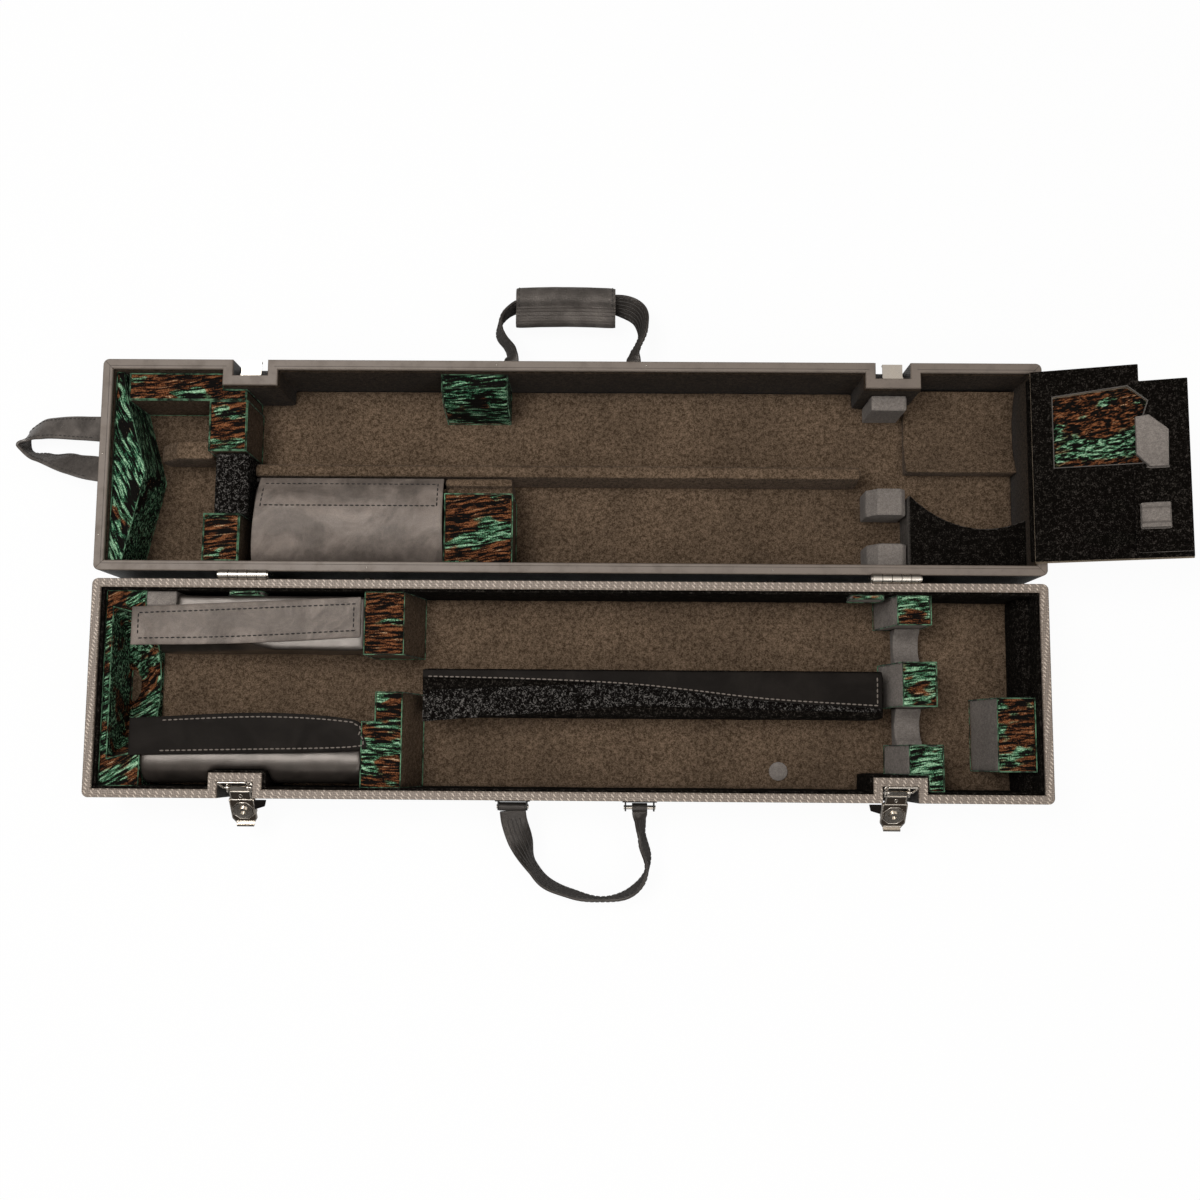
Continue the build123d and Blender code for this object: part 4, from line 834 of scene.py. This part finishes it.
class CASE_OT_stage(Step):
    """Makes the floor, the backdrop light, the lamps and the camera."""

    bl_idname = "case.stage"
    bl_label = "Stage"

    def execute(self, context):
        scene = context.scene
        scene.view_settings.view_transform = "Standard"
        bpy.ops.mesh.primitive_plane_add(size=14, location=(0, 0.1, -0.4 * MM))
        floor_piece = context.object
        floor_piece.name = "floor"
        floor_piece.data.materials.append(self.pale_floor())
        self.sky(scene)
        middle = Vector((0, 0.1, 0))
        for name, place, power, size in (
            ("key", (-0.75, 0.35, 2.3), 31.0, 1.0),
            ("fill", (1.2, -0.7, 2.2), 10.0, 1.4),
            ("strip", (0.1, -1.6, 1.5), 5.0, 0.8),
        ):
            bpy.ops.object.light_add(type="AREA", location=place)
            lamp = context.object
            lamp.name, lamp.data.energy, lamp.data.size = name, power, size
            lamp.rotation_euler = (middle - Vector(place)).to_track_quat("-Z", "Y").to_euler()
        eye, lean = (0.04045, -0.0625, 1.388), (0.1155, 0.0068, 0.0074)
        bpy.ops.object.camera_add(location=eye, rotation=lean)
        camera = context.object
        camera.name, camera.data.sensor_width, camera.data.lens = "camera", 36, 40.03
        scene.camera = camera
        return {"FINISHED"}

    def pale_floor(self):
        """White to the camera, a little grey to the light, so that the object's shadow stays."""
        wires, shader, place = surface("pale_floor", {"Roughness": 0.9, "Specular IOR Level": 0.0})
        seen = wires.node("ShaderNodeLightPath").outputs["Is Camera Ray"]
        tone = wires.line(wires.noise(place, 9.0, 3.0), 0.02, wires.line(seen, 0.43, 0.5))
        wires.put(shader.inputs["Base Color"], wires.shaded(full((1, 1, 1)), tone))
        glow = wires.first("ShaderNodeEmission", {"Strength": 1.0})
        both = {0: wires.times(seen, 0.95), 1: shader.outputs[0], 2: glow}
        surfaces = wires.tree.nodes["Material Output"].inputs["Surface"]
        wires.put(surfaces, wires.first("ShaderNodeMixShader", both))
        return bpy.data.materials[LOOK + "pale_floor"]

    def sky(self, scene):
        """White where the camera sees it; otherwise bright overhead and dark near the horizon."""
        world = bpy.data.worlds.new("backdrop")
        scene.world = world
        world.use_nodes = True
        wires = Wires(world.node_tree)
        seen = wires.node("ShaderNodeLightPath").outputs["Is Camera Ray"]
        way = wires.parts(wires.node("ShaderNodeTexCoord").outputs["Generated"])
        horizon, dome = full((0.055, 0.052, 0.049)), full((0.62, 0.585, 0.55))
        plain = world.node_tree.nodes["Background"]
        wires.put(plain.inputs["Color"], wires.mix(wires.step(way[2], 0.45, 0.95), horizon, dome))
        white = wires.first("ShaderNodeBackground", {"Strength": 1.0})
        both = wires.first("ShaderNodeMixShader", {0: seen, 1: plain.outputs[0], 2: white})
        wires.put(world.node_tree.nodes["World Output"].inputs["Surface"], both)


class CASE_OT_shells(Step):
    """Finishes the two shells and their rims."""

    bl_idname = "case.shells"
    bl_label = "Shells and rims"

    def execute(self, context):
        dress("base_shell", "shell_twill")
        dress("lid_shell", "shell_twill")
        dress("base_rim", "rim_twill")
        dress("lid_rim", "rim_taupe")
        return {"FINISHED"}


class CASE_OT_linings(Step):
    """Makes the felt on the walls and the pads on the floors."""

    bl_idname = "case.linings"
    bl_label = "Linings"

    def execute(self, context):
        # the lid's walls take the brown felt darkened as painted shade
        for side, slot, finish in (("base", "felt_black", "velour_black"), ("lid", "felt_brown", "felt_wall_shaded")):
            wall = bevelled(f"{side}_wall_lining", f"{side}_wall_felt", 0.9 * MM)
            finish_piece(wall, side, finish)
            node, name = f"{side}_floor_pad", f"{side}_floor_felt"
            uneven = {"height": 0.5 * MM, "spread": 45 * MM}
            block(node, name, side, "felt_brown", "felt_brown", 2.9 * MM, fill=0.9, **uneven)
        return {"FINISHED"}


class CASE_OT_velvet(Step):
    """Makes the velvet-covered blocks with a green bead along their upper edges, painted lighter as the sheen of the
    pile where it bends over them.
    """

    bl_idname = "case.velvet"
    bl_label = "Velvet blocks"

    def execute(self, context):
        bead_band, shortest = 0.35, 2 * MM
        for node, body, material in (
            ("base_bell_block", "base", "velvet_corner"),
            ("base_far_post", "base", "velvet_far_post"),
            ("base_near_post", "base", "velvet_posts"),
            ("base_saddle_blocks", "base", "velvet_saddles"),
            ("base_bell_stop", "base", "velvet_stop"),
            ("base_hinge_patches", "base", "velvet_saddles"),
            ("lid_end_block", "lid", "velvet_leaning"),
            ("lid_velvet_blocks", "lid", "velvet_lid"),
            ("lid_wall_wedge", "lid", "velvet_lid_green"),
            ("lid_cradle_block", "lid", "velvet_lid"),
        ):
            cell = sizes().pad_cell * (0.6 if "patches" in node else 1.0)
            uneven = {"height": 0.5 * MM, "spread": 16 * MM}
            block(node, node + "_cover", body, "velvet_marbled", material, cell, fill=0.95, **uneven)
            low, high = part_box(node)
            level = high.z - (high.z - low.z) * bead_band

            def upper(a, b):
                return min(a.z, b.z) > level and (a - b).length > shortest

            # painted sheen: the bead's rounded shape is the velvet's own edge, its lighter green the pile catching the
            # light there
            bead = edge_bead(node, node + "_bead", sizes().bead, upper)
            finish_piece(bead, body, "velvet_bead_sheen")
        return {"FINISHED"}


class CASE_OT_felt_blocks(Step):
    """Makes the felt- and velour-covered dividers, beds and the crescent."""

    bl_idname = "case.felt_blocks"
    bl_label = "Felt blocks"

    def execute(self, context):
        for node, body, slot, material in (
            ("base_end_bolster", "base", "felt_black", "velour_black"),
            ("base_divider", "base", "felt_black", "velour_black"),
            ("lid_left_divider", "lid", "felt_brown", "felt_brown"),
            ("lid_trough_divider", "lid", "felt_brown", "felt_brown"),
            ("lid_stepped_block", "lid", "felt_brown", "felt_brown"),
            ("lid_bell_bed", "lid", "felt_brown", "felt_brown"),
            ("lid_crescent", "lid", "felt_black", "velour_on_foam"),
            ("lid_middle_post", "lid", "loop_black", "loop_black"),
            ("cover_hinge", "lid", "felt_black", "velour_black"),
        ):
            thin = node == "cover_hinge"
            share, rounds, fill = (0.35, 1, None) if thin else (1.0, 2, 0.95)
            cell = sizes().pad_cell * share
            block(node, node + "_cover", body, slot, material, cell, rounds, fill, height=0.35 * MM)
        return {"FINISHED"}


class CASE_OT_foam(Step):
    """Makes the grey foam cradles and rests."""

    bl_idname = "case.foam"
    bl_label = "Foam"

    def execute(self, context):
        for node, body in (("base_felt_rests", "base"), ("lid_foam_cradles", "lid")):
            name = node + "_foam"
            block(node, name, body, "foam_grey", "foam_grey", 1.8 * MM, fill=1.0, height=0.25 * MM)
        return {"FINISHED"}


class CASE_OT_bolsters(Step):
    """Makes the two leather bolsters beside the bell."""

    bl_idname = "case.bolsters"
    bl_label = "Bell bolsters"

    def execute(self, context):
        uneven = {"height": 0.9 * MM, "spread": 60 * MM}
        for node in ("base_far_bolster", "base_near_bolster"):
            look = (node + "_leather", "base", "leather_black", "leather_bolster")
            block(node, *look, 2.2 * MM, 8, 0.9, 80, **uneven)
        return {"FINISHED"}


class CASE_OT_flaps(Step):
    """Makes the leather flaps over the bell and the divider, with their stitching."""

    bl_idname = "case.flaps"
    bl_label = "Leather flaps"

    def execute(self, context):
        # each flap's near and far edge in plan, in mm, and where its seam runs in its own (u, v)
        for body, near, far, seam, under, thread, finish in (
            (
                "bell_flap",
                ((-433, 42), (-330, 44), (-206, 51)),
                ((-433, 80), (-206, 91)),
                ((0.03, 0.17), (0.97, 0.17), (0.97, 0.83), (0.03, 0.83), (0.03, 0.17)),
                "base_far_bolster",
                "thread_dark",
                # the flap's leather is lightened as painted sheen
                "leather_flap_sheen",
            ),
            (
                "bell_strap",
                ((-430, -66), (-212, -60), (-205, -46)),
                ((-430, -30), (-300, -24), (-212, -30), (-205, -42)),
                ((0.12, 0.10), (0.97, 0.10), (0.995, 0.5), (0.97, 0.90), (0.12, 0.90)),
                "base_near_bolster",
                "thread_light",
                "leather_black",
            ),
            (
                "divider_flap",
                ((-145, 13), (-40, 11), (60, 6.5), (130, -1), (201, -9), (310, -15)),
                ((-145, 20), (310, 20)),
                ((0.01, 0.12), (0.99, 0.07), (0.99, 0.93)),
                "base_divider_band",
                "thread_light",
                "leather_black",
            ),
        ):
            node = "base_" + body
            self.flap(node, body, near, far, seam, under, thread, finish)
        return {"FINISHED"}

    def flap(self, node, body, near, far, seam, under, thread, finish):
        """A sheet between two edges in plan, with a slow wave and a drooping free edge."""
        low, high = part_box(node)
        near_line, far_line = (smooth_line([mm(*p, 0) for p in edge], 41) for edge in (near, far))
        thick = sizes().leather

        def place(u, v):
            one, two = on_line(near_line, u), on_line(far_line, u)
            spot = one + (two - one) * v
            wave = 0.45 * MM * (1 + noise.noise(Vector((spot.x / 0.05, spot.y / 0.03, len(node)))))
            return Vector((spot.x, spot.y, low.z + wave * min(1.0, 6 * v * (1 - v) + 0.2)))

        piece = hide_sheet(node + "_leather", 96, 16, place, thick)
        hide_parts(node)
        width = sum((a - b).length for a, b in zip(near_line, far_line)) / len(near_line)
        finish_piece(piece, body, finish)
        sewing = sewn(node + "_stitching", place, seam, thick + 0.1 * MM)
        finish_piece(sewing, body, thread)


class CASE_OT_lid_bolster(Step):
    """Makes the padded roll in the lid, the leather that folds over it and the sheet behind it."""

    bl_idname = "case.lid_bolster"
    bl_label = "Lid bolster"

    def execute(self, context):
        look = ("lid_bolster_roll", "lid", "leather_black", "leather_bolster")
        block("lid_bolster", *look, 2.4 * MM, 5, 0.9, 80, height=0.5 * MM, spread=50 * MM)
        low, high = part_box("lid_bolster_cover")
        top = height_on("lid_bolster_cover")
        thick, slack = sizes().leather, 0.4 * MM

        def place(u, v):
            left = low.x + v * 8 * MM
            x = left + (high.x - left) * u
            y = low.y + (high.y - low.y) * v
            wave = 0.5 * MM * noise.noise(Vector((x / 0.06, y / 0.03, 0.5))) * sin(pi * v)
            return Vector((x, y, top(x, y) - thick - slack + wave))

        piece = hide_sheet("bolster_cover_leather", 72, 44, place, thick)
        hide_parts("lid_bolster_cover")
        span = run_of([place(0.5, step / 40) for step in range(41)])
        # the bolster cover's leather is lightened as painted sheen
        finish_piece(piece, "bolster_cover", "leather_flap_sheen", angle=70)
        seam = ((0.03, 0.93), (0.97, 0.93), (0.97, 0.66), (0.03, 0.66), (0.03, 0.93))
        sewing = sewn("bolster_cover_stitching", place, seam, thick + 0.15 * MM)
        finish_piece(sewing, "bolster_cover", "thread_dark")
        look = ("back_sheet_leather", "lid", "leather_black", "leather_black")
        block("lid_back_sheet", *look, 1.0 * MM, 2, spread=30 * MM)
        return {"FINISHED"}


class CASE_OT_divider_band(Step):
    """Makes the wide loop band on the base's divider."""

    bl_idname = "case.divider_band"
    bl_label = "Divider band"

    def execute(self, context):
        band = bevelled("base_divider_band", "divider_band_loop", 0.6 * MM)
        finish_piece(band, "base", "loop_black")
        return {"FINISHED"}


class StrapFrame:
    """Local axes of a strap: along its wall, out from it and down, and across the strap's width."""

    def __init__(self, origin, along_wall, out):
        droop = radians(19.47)
        self.origin = origin
        self.along = along_wall
        self.out = out * cos(droop) + Vector((0, 0, -sin(droop)))
        self.width = self.along.cross(self.out)

    def at(self, distance, reach, rise=0.0):
        return self.origin + (self.along * distance + self.out * reach + self.width * rise) * MM


# a strap's middle line as (along the wall, out from it) in mm, its turn in degrees and width in mm along it
BASE_HANDLE = (
    ((-63, 4), (-61, 18), (-54, 40), (-44, 64), (-26, 84), (14, 98), (46, 95.5), (66, 80), (72, 58), (66, 34), (63, 4)),
    ((0, -90), (0.05, -85), (0.25, -8), (0.42, 6), (0.54, 20), (0.68, 3), (0.9, 14), (0.96, 42), (1, 90)),
    ((0, 26), (0.86, 26), (0.95, 15), (1, 15)),
)
LID_HANDLE = (
    ((-63, 4), (-64, 16), (-73, 42), (-68, 66), (-44, 78), (0, 81), (50, 78), (72, 64), (77, 42), (64, 18), (63, 4)),
    (
        *((0, -88), (0.04, -40), (0.08, -28), (0.15, -22), (0.26, -34), (0.38, 0)),
        *((0.62, 0), (0.76, 12), (0.9, 14), (0.96, 38), (1, 85)),
    ),
    ((0, 15), (0.06, 15), (0.2, 26), (0.8, 26), (0.94, 15), (1, 15)),
)
END_LOOP = (
    (
        *((-21, 4), (-23, 20), (-27, 60), (-27, 86), (-21, 101), (-11, 107)),
        *((-4, 100), (3, 80), (9, 56), (16, 30), (21, 4)),
    ),
    ((0, 90), (0.12, 82), (0.34, 66), (0.43, 50), (0.52, 6), (0.64, -24), (0.82, -60), (0.95, -84), (1, -90)),
    ((0, 26), (1, 26)),
)
# the grip's section as (out from the wall, up), in mm
GRIP_SECTION = (
    *((-22, 2), (-22, -3), (-20.6, -5.2), (-19.2, -4.2), (-17.6, -6.0), (-15.9, -4.9), (-14.0, -6.7)),
    *((-12.1, -5.4), (-10.0, -7.3), (-7.9, -5.9), (-5.6, -7.9), (-3.4, -6.2), (-1.8, -8.6), (0.4, -13.0)),
    *((4.5, -15.4), (10, -16.2), (16, -14.6), (20.4, -10.0), (22, -3), (21.6, 4), (18.5, 11), (12, 15.2)),
    *((4, 16), (-4, 13), (-12, 9), (-19, 6)),
)


class CASE_OT_straps(Step):
    """Makes the two carrying handles and the loop on the end, all on their pins."""

    bl_idname = "case.straps"
    bl_label = "Straps"

    def execute(self, context):
        base = StrapFrame(mm(8, -114, 50), Vector((1, 0, 0)), Vector((0, -1, 0)))
        lid = StrapFrame(mm(0, 336, 50), Vector((-1, 0, 0)), Vector((0, 1, 0)))
        end = StrapFrame(mm(-477, 245, 50), Vector((0, -1, 0)), Vector((-1, 0, 0)))
        self.strap("base_handle", base, *BASE_HANDLE, "leather_strap", 4)
        self.strap("lid_handle", lid, *LID_HANDLE, "leather_strap", 4)
        # the end loop's leather is lightened as painted sheen
        self.strap("end_loop", end, *END_LOOP, "leather_smooth", 0)
        self.grip(lid)
        return {"FINISHED"}

    def strap(self, node, axes, centre, turns, widths, finish, ribs):
        """A strap that lies flat on its pins and turns onto its edge between them."""
        thick = sizes().strap
        stations = 120
        line = smooth_line([axes.at(*p) for p in centre], stations + 1)

        def place(u, v, lift=0.0):
            index = round(u * stations)
            ahead = line[min(index + 1, stations)] - line[max(index - 1, 0)]
            normal = axes.width.cross(ahead).normalized()
            turn = radians(eased(turns, u))
            across = axes.width * cos(turn) + normal * sin(turn)
            face = ahead.normalized().cross(across)
            return line[index] + across * eased(widths, u) * MM * (v - 0.5) + face * lift

        def rows(v, lift, skipped):
            return [place(s / stations, v, lift) for s in range(skipped, stations + 1 - skipped)]

        parts = [hide_sheet(node + "_strip", stations, 8, place, thick, offset=0)]
        pin_room = 3.4
        for arm, width in ((centre[0][0], widths[0][1]), (centre[-1][0], widths[-1][1])):

            def round_pin(u, v):
                turn = u * WHOLE_TURN
                return axes.at(arm + (v - 0.5) * width, pin_room * cos(turn), pin_room * sin(turn))

            sleeve = grid(node + "_sleeve", 24, 6, round_pin)
            modify(sleeve, "WELD", merge_threshold=SAME_POINT)
            modify(sleeve, "SOLIDIFY", thickness=1.9 * MM, offset=0)
            parts.append(sleeve)
        piece = joined(node + "_leather", *parts)
        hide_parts(node)
        finish_piece(piece, node, finish)
        threads = []
        for side in (-1, 1):
            lift = side * thick * 0.5
            for index, v in enumerate((0.12, 0.88)):
                threads.append(stitches(f"{node}_edge_{side}_{index}", rows(v, lift, 6), sizes().thread))
            for rib in range(ribs):
                v = 0.26 + 0.48 * rib / (ribs - 1)
                threads.append(tube(f"{node}_rib_{side}_{rib}", rows(v, lift, 4), 0.55 * MM))
        sewing = joined(node + "_stitching", *threads)
        finish_piece(sewing, node, "thread_strap", angle=80)

    def grip(self, axes):
        """The rolled leather grip: a padded roll over the strap and the layered edges below it."""
        outline = smooth_line([Vector((r, w, 0)) for r, w in (*GRIP_SECTION, GRIP_SECTION[0])], 105)
        middle, half, reach = 8.0, 52.0, 71
        columns, rows = 56, 104

        def place(u, v):
            spot = outline[round(v * rows)]
            run = (u - 0.5) * 2
            end = 1 - 0.035 * abs(run) ** 24
            bow = 1.6 * (1 - run * run)
            return axes.at(middle + run * half, reach + spot.x * end + bow, spot.y * end)

        roll = grid("grip_roll", columns, rows, place)
        modify(roll, "WELD", merge_threshold=SAME_POINT)
        edit_all(roll)
        bpy.ops.mesh.fill_holes(sides=0)
        bpy.ops.mesh.normals_make_consistent(inside=False)
        leave_edit()
        ripple(roll, 0.25 * MM, 18 * MM)
        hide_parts("lid_handle_grip")
        # the grip's leather is lightened as painted sheen
        finish_piece(roll, "lid_handle", "leather_grip_sheen", angle=60)
        threads = []
        for end in (0.03, 0.97):
            points = [place(end, v / rows) for v in range(12, 76)]
            threads.append(stitches(f"grip_end_{end}", points, sizes().thread))
        seam = [place(s / columns, 54 / rows) for s in range(1, columns)]
        threads.append(stitches("grip_seam", seam, sizes().thread))
        finish_piece(joined("grip_stitching", *threads), "lid_handle", "thread_strap")


def on_cover(u, v, rise):
    """A place on the accessory cover: out from its hinge, along it, and up from its underside."""
    tilt = radians(18)
    return mm(455 + u * cos(tilt) - rise * sin(tilt), 222 + v, 87 + u * sin(tilt) + rise * cos(tilt))


class CASE_OT_cover(Step):
    """Makes the accessory cover: velour over a board, the lined pocket with its piping, foam and strip."""

    bl_idname = "case.cover"
    bl_label = "Accessory cover"

    def execute(self, context):
        board = bevelled("cover_board", "cover_velour", 1.0 * MM)
        finish_piece(board, "cover", "velour_on_board", angle=50)
        look = ("cover_foam", "cover", "foam_grey", "foam_grey")
        block("cover_pads", *look, 1.1 * MM, fill=1.0, height=0.2 * MM)
        pocket = ((23, -3), (104, -3), (104, 40), (110, 58), (92, 74), (23, 68))
        lining = slab("pocket_velvet", [on_cover(u, v, 3.2) for u, v in pocket], 1.6 * MM)
        modify(lining, "REMESH", mode="VOXEL", voxel_size=1.2 * MM)
        modify(lining, "SMOOTH", factor=0.5, iterations=2)
        ripple(lining, 0.8 * MM, 14 * MM)
        finish_piece(lining, "cover", "velvet_pocket")
        piping = tube("pocket_piping", [on_cover(u, v, 11.0) for u, v in pocket], 0.75 * MM, cyclic=True)
        finish_piece(piping, "cover", "piping")
        strip = ((94.8, -89.8), (145.2, -89.8), (145.2, -8.2), (94.8, -8.2))
        edge = ((3.4, -95.2), (146.4, -95.2), (146.4, 78.4), (102.2, 78.4), (102.2, 95.2), (3.4, 95.2))
        for name, corners, rise, thick, rounding, segments, finish in (
            ("cover_strip", strip, 11.2, 3.3 * MM, 0.8 * MM, 3, "velour_black"),
            ("cover_ply", edge, 0.6, 3.0 * MM, 0.4 * MM, 2, "board_edge"),
        ):
            layer = slab(name, [on_cover(u, v, rise) for u, v in corners], thick)
            modify(layer, "BEVEL", width=rounding, segments=segments)
            finish_piece(layer, "cover", finish)
        return {"FINISHED"}


class CASE_OT_latches(Step):
    """Finishes the latches, hinges, pins, rivets and brackets."""

    bl_idname = "case.latches"
    bl_label = "Metalwork"

    def execute(self, context):
        for node in (
            *("latch_plates", "latch_keepers", "base_hinge_leaves", "lid_hinge_leaves", "hinge_pins"),
            *("left_latch_lever", "right_latch_lever", "left_latch_bail", "right_latch_bail"),
            *("base_rivets", "lid_rivets", "base_glides", "base_pins"),
        ):
            dress(node, "nickel")
        for node in ("base_handle_brackets", "lid_strap_brackets", "lid_pins"):
            dress(node, "black_metal")
        for side, x in (("left", -322), ("right", 322)):
            self.lever_relief(side, x)
        self.knuckle_gap_shade()
        return {"FINISHED"}

    def lever_relief(self, side, x):
        """The raised rails, bars and octagon pressed into a lever, and the pockets between them, laid dark as painted
        shade.
        """
        lean = radians(50)
        up, out = Vector((0, sin(lean), cos(lean))), Vector((0, -cos(lean), sin(lean)))
        face, tip, boss = 3.7, -44, -27

        def at(across, along_lever, rise=0.15):
            return mm(x + across, -97, 66) + (up * along_lever + out * (face + rise)) * MM

        def circle(name, middle, radius, corners, thick, turn=0.0):
            turns = [turn + corner * WHOLE_TURN / corners for corner in range(corners)]
            points = [at(radius * cos(way), middle + radius * sin(way)) for way in turns]
            return tube(f"{side}_{name}", points, thick, cyclic=True)

        bars = [
            circle("octagon", boss, 11.2, 8, 0.55 * MM, turn=pi / 8),
            circle("hole", -7.6, 1.7, 16, 0.4 * MM),
        ]
        rail_end = tip + 7.5
        for index, (start, end) in enumerate(
            (
                ((-11.7, -13.6), (-11.7, rail_end)),
                ((11.7, -13.6), (11.7, rail_end)),
                ((-9.8, 2.6), (-9.8, -9.6)),
                ((9.8, 2.6), (9.8, -9.6)),
                ((-9.8, -2.2), (9.8, -2.2)),
                ((-10.6, -12.6), (10.6, -12.6)),
                ((-8.8, tip + 2.6), (8.8, tip + 2.6)),
            )
        ):
            bars.append(tube(f"{side}_bar_{index}", [at(*start), at(*end)], 0.6 * MM))
        finish_piece(joined(f"{side}_lever_relief", *bars), f"{side}_lever", "nickel")
        # the pockets are dark sheets of painted shade
        low, corner = tip + 3.6, tip + 7.4
        neck = ((-9.2, -11.8), (9.2, -11.8), (9.2, -3.0), (-9.2, -3.0))
        plate = ((-11, corner), (-8, low), (8, low), (11, corner), (11, -13.6), (-11, -13.6))
        pockets = [
            slab(f"{side}_{name}", [at(*c, rise=-0.05) for c in corners], 0.2 * MM)
            for name, corners in (("neck", neck), ("face", plate))
        ]
        finish_piece(joined(f"{side}_lever_pocket_shade", *pockets), f"{side}_lever", "dark_recess_shade")

    def knuckle_gap_shade(self):
        """Painted shade: dark rings where one knuckle of a hinge meets the next, for the shadow in the gap between
        them.
        """
        rings = []
        radius, corners = 4.55, 24
        for hinge in (-321, 321):
            for gap in (-14.1, -4.7, 4.7, 14.1):
                turns = [corner * WHOLE_TURN / corners for corner in range(corners)]
                points = [mm(hinge + gap, 111 + radius * cos(way), 88.4 + radius * sin(way)) for way in turns]
                rings.append(tube(f"ring_{hinge}_{gap}", points, 0.4 * MM, cyclic=True))
        finish_piece(joined("hinge_knuckle_gap_shade", *rings), "base", "dark_recess_shade")


class CASE_OT_trim(Step):
    """Adds the small trim: latch tabs, the joint lines and screws of the lid's moulding, and the felt dot."""

    bl_idname = "case.trim"
    bl_label = "Small trim"

    def execute(self, context):
        self.latch_tabs()
        self.rim_lines()
        places = ((-466.2, 232), (-466.2, 150), (466.2, 160), (466.2, 290))
        places += ((-75, 325), (75, 325), (-200, 119), (200, 119))
        head = {"segments": 16, "ring_count": 8, "radius": 1.0 * MM}
        heads = [added("screw", "uv_sphere", location=mm(x, y, 87.5), **head) for x, y in places]
        finish_piece(joined("lid_rim_screws", *heads), "lid", "nickel")
        disc = {"vertices": 40, "radius": 9.5 * MM, "depth": 1.6 * MM}
        dot = added("felt_dot", "cylinder", location=mm(213, -78, 14.7), **disc)
        modify(dot, "BEVEL", width=0.7 * MM, segments=3)
        finish_piece(dot, "base", "foam_grey")
        return {"FINISHED"}

    def latch_tabs(self):
        """The leather tabs beside the latches."""
        tabs = []
        for side in (-1, 1):
            x = side * (322 - 17.5)
            inner = -side
            corners = [mm(x, -108.2, 79), mm(x, -117.0, 74)]
            corners += [mm(x + inner * 10, -114.0, 75), mm(x + inner * 12, -108.2, 79)]
            if side == 1:
                corners.reverse()
            tabs.append(slab(f"tab_{side}", corners, 2.2 * MM))
            modify(tabs[-1], "BEVEL", width=0.7 * MM, segments=3)
        finish_piece(joined("latch_tabs", *tabs), "base", "leather_black")

    def rim_lines(self):
        """The mitres at the corners of the lid's moulding, and the groove that runs round it, as dark lines; the
        groove's darkness is painted shade.
        """
        low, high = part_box("lid_rim")
        level, outer, inset, groove = high.z - 0.12 * MM, 2.6 * MM, 10 * MM, 6.9 * MM
        lines = []

        def add(name, *ends):
            lines.append(tube(name, [Vector((x, y, level)) for x, y in ends], sizes().seam / 2))

        for x, out in ((low.x, 1), (high.x, -1)):
            for y, up in ((low.y, 1), (high.y, -1)):
                start, end = ((x + out * far, y + up * far) for far in (outer, inset))
                add(f"mitre_{out}_{up}", start, end)
        near_run = ((-462.5, 462.5),)
        far_runs = ((-462.5, -346.0), (-298.0, 298.0), (346.0, 462.5))
        for y, runs in ((low.y + groove, near_run), (high.y - groove, far_runs)):
            for start, end in runs:
                add(f"groove_{y:.3f}_{start}", (start * MM, y), (end * MM, y))
        for x in (low.x + groove, high.x - groove):
            add(f"groove_{x:.3f}", (x, low.y + groove), (x, high.y - groove))
        finish_piece(joined("lid_rim_joints", *lines), "lid", "rim_dark_joints_and_groove_shade")


OPERATORS = (
    CASE_OT_finishes,
    CASE_OT_stage,
    CASE_OT_shells,
    CASE_OT_linings,
    CASE_OT_velvet,
    CASE_OT_felt_blocks,
    CASE_OT_foam,
    CASE_OT_bolsters,
    CASE_OT_flaps,
    CASE_OT_lid_bolster,
    CASE_OT_divider_band,
    CASE_OT_straps,
    CASE_OT_cover,
    CASE_OT_latches,
    CASE_OT_trim,
)


class CASE_PT_panel(bpy.types.Panel):
    """Lists the case's operators and its sizes and colours."""

    bl_idname = "CASE_PT_panel"
    bl_label = "Clarinet Case"
    bl_space_type = "VIEW_3D"
    bl_region_type = "UI"
    bl_category = "Case"

    def draw(self, context):
        for operator in OPERATORS:
            self.layout.operator(operator.bl_idname)
        for settings in (context.scene.case_sizes, context.scene.case_colours):
            for name in settings.__annotations__:
                self.layout.prop(settings, name)


CLASSES = (CaseSizes, CaseColours, *OPERATORS, CASE_PT_panel)


def register():
    for made in CLASSES:
        bpy.utils.register_class(made)
    bpy.types.Scene.case_sizes = PointerProperty(type=CaseSizes)
    bpy.types.Scene.case_colours = PointerProperty(type=CaseColours)


def unregister():
    del bpy.types.Scene.case_sizes
    del bpy.types.Scene.case_colours
    for made in reversed(CLASSES):
        bpy.utils.unregister_class(made)


def main():
    register()
    for operator in OPERATORS:
        module, name = operator.bl_idname.split(".")
        getattr(getattr(bpy.ops, module), name)()


if __name__ == "__main__":
    main()
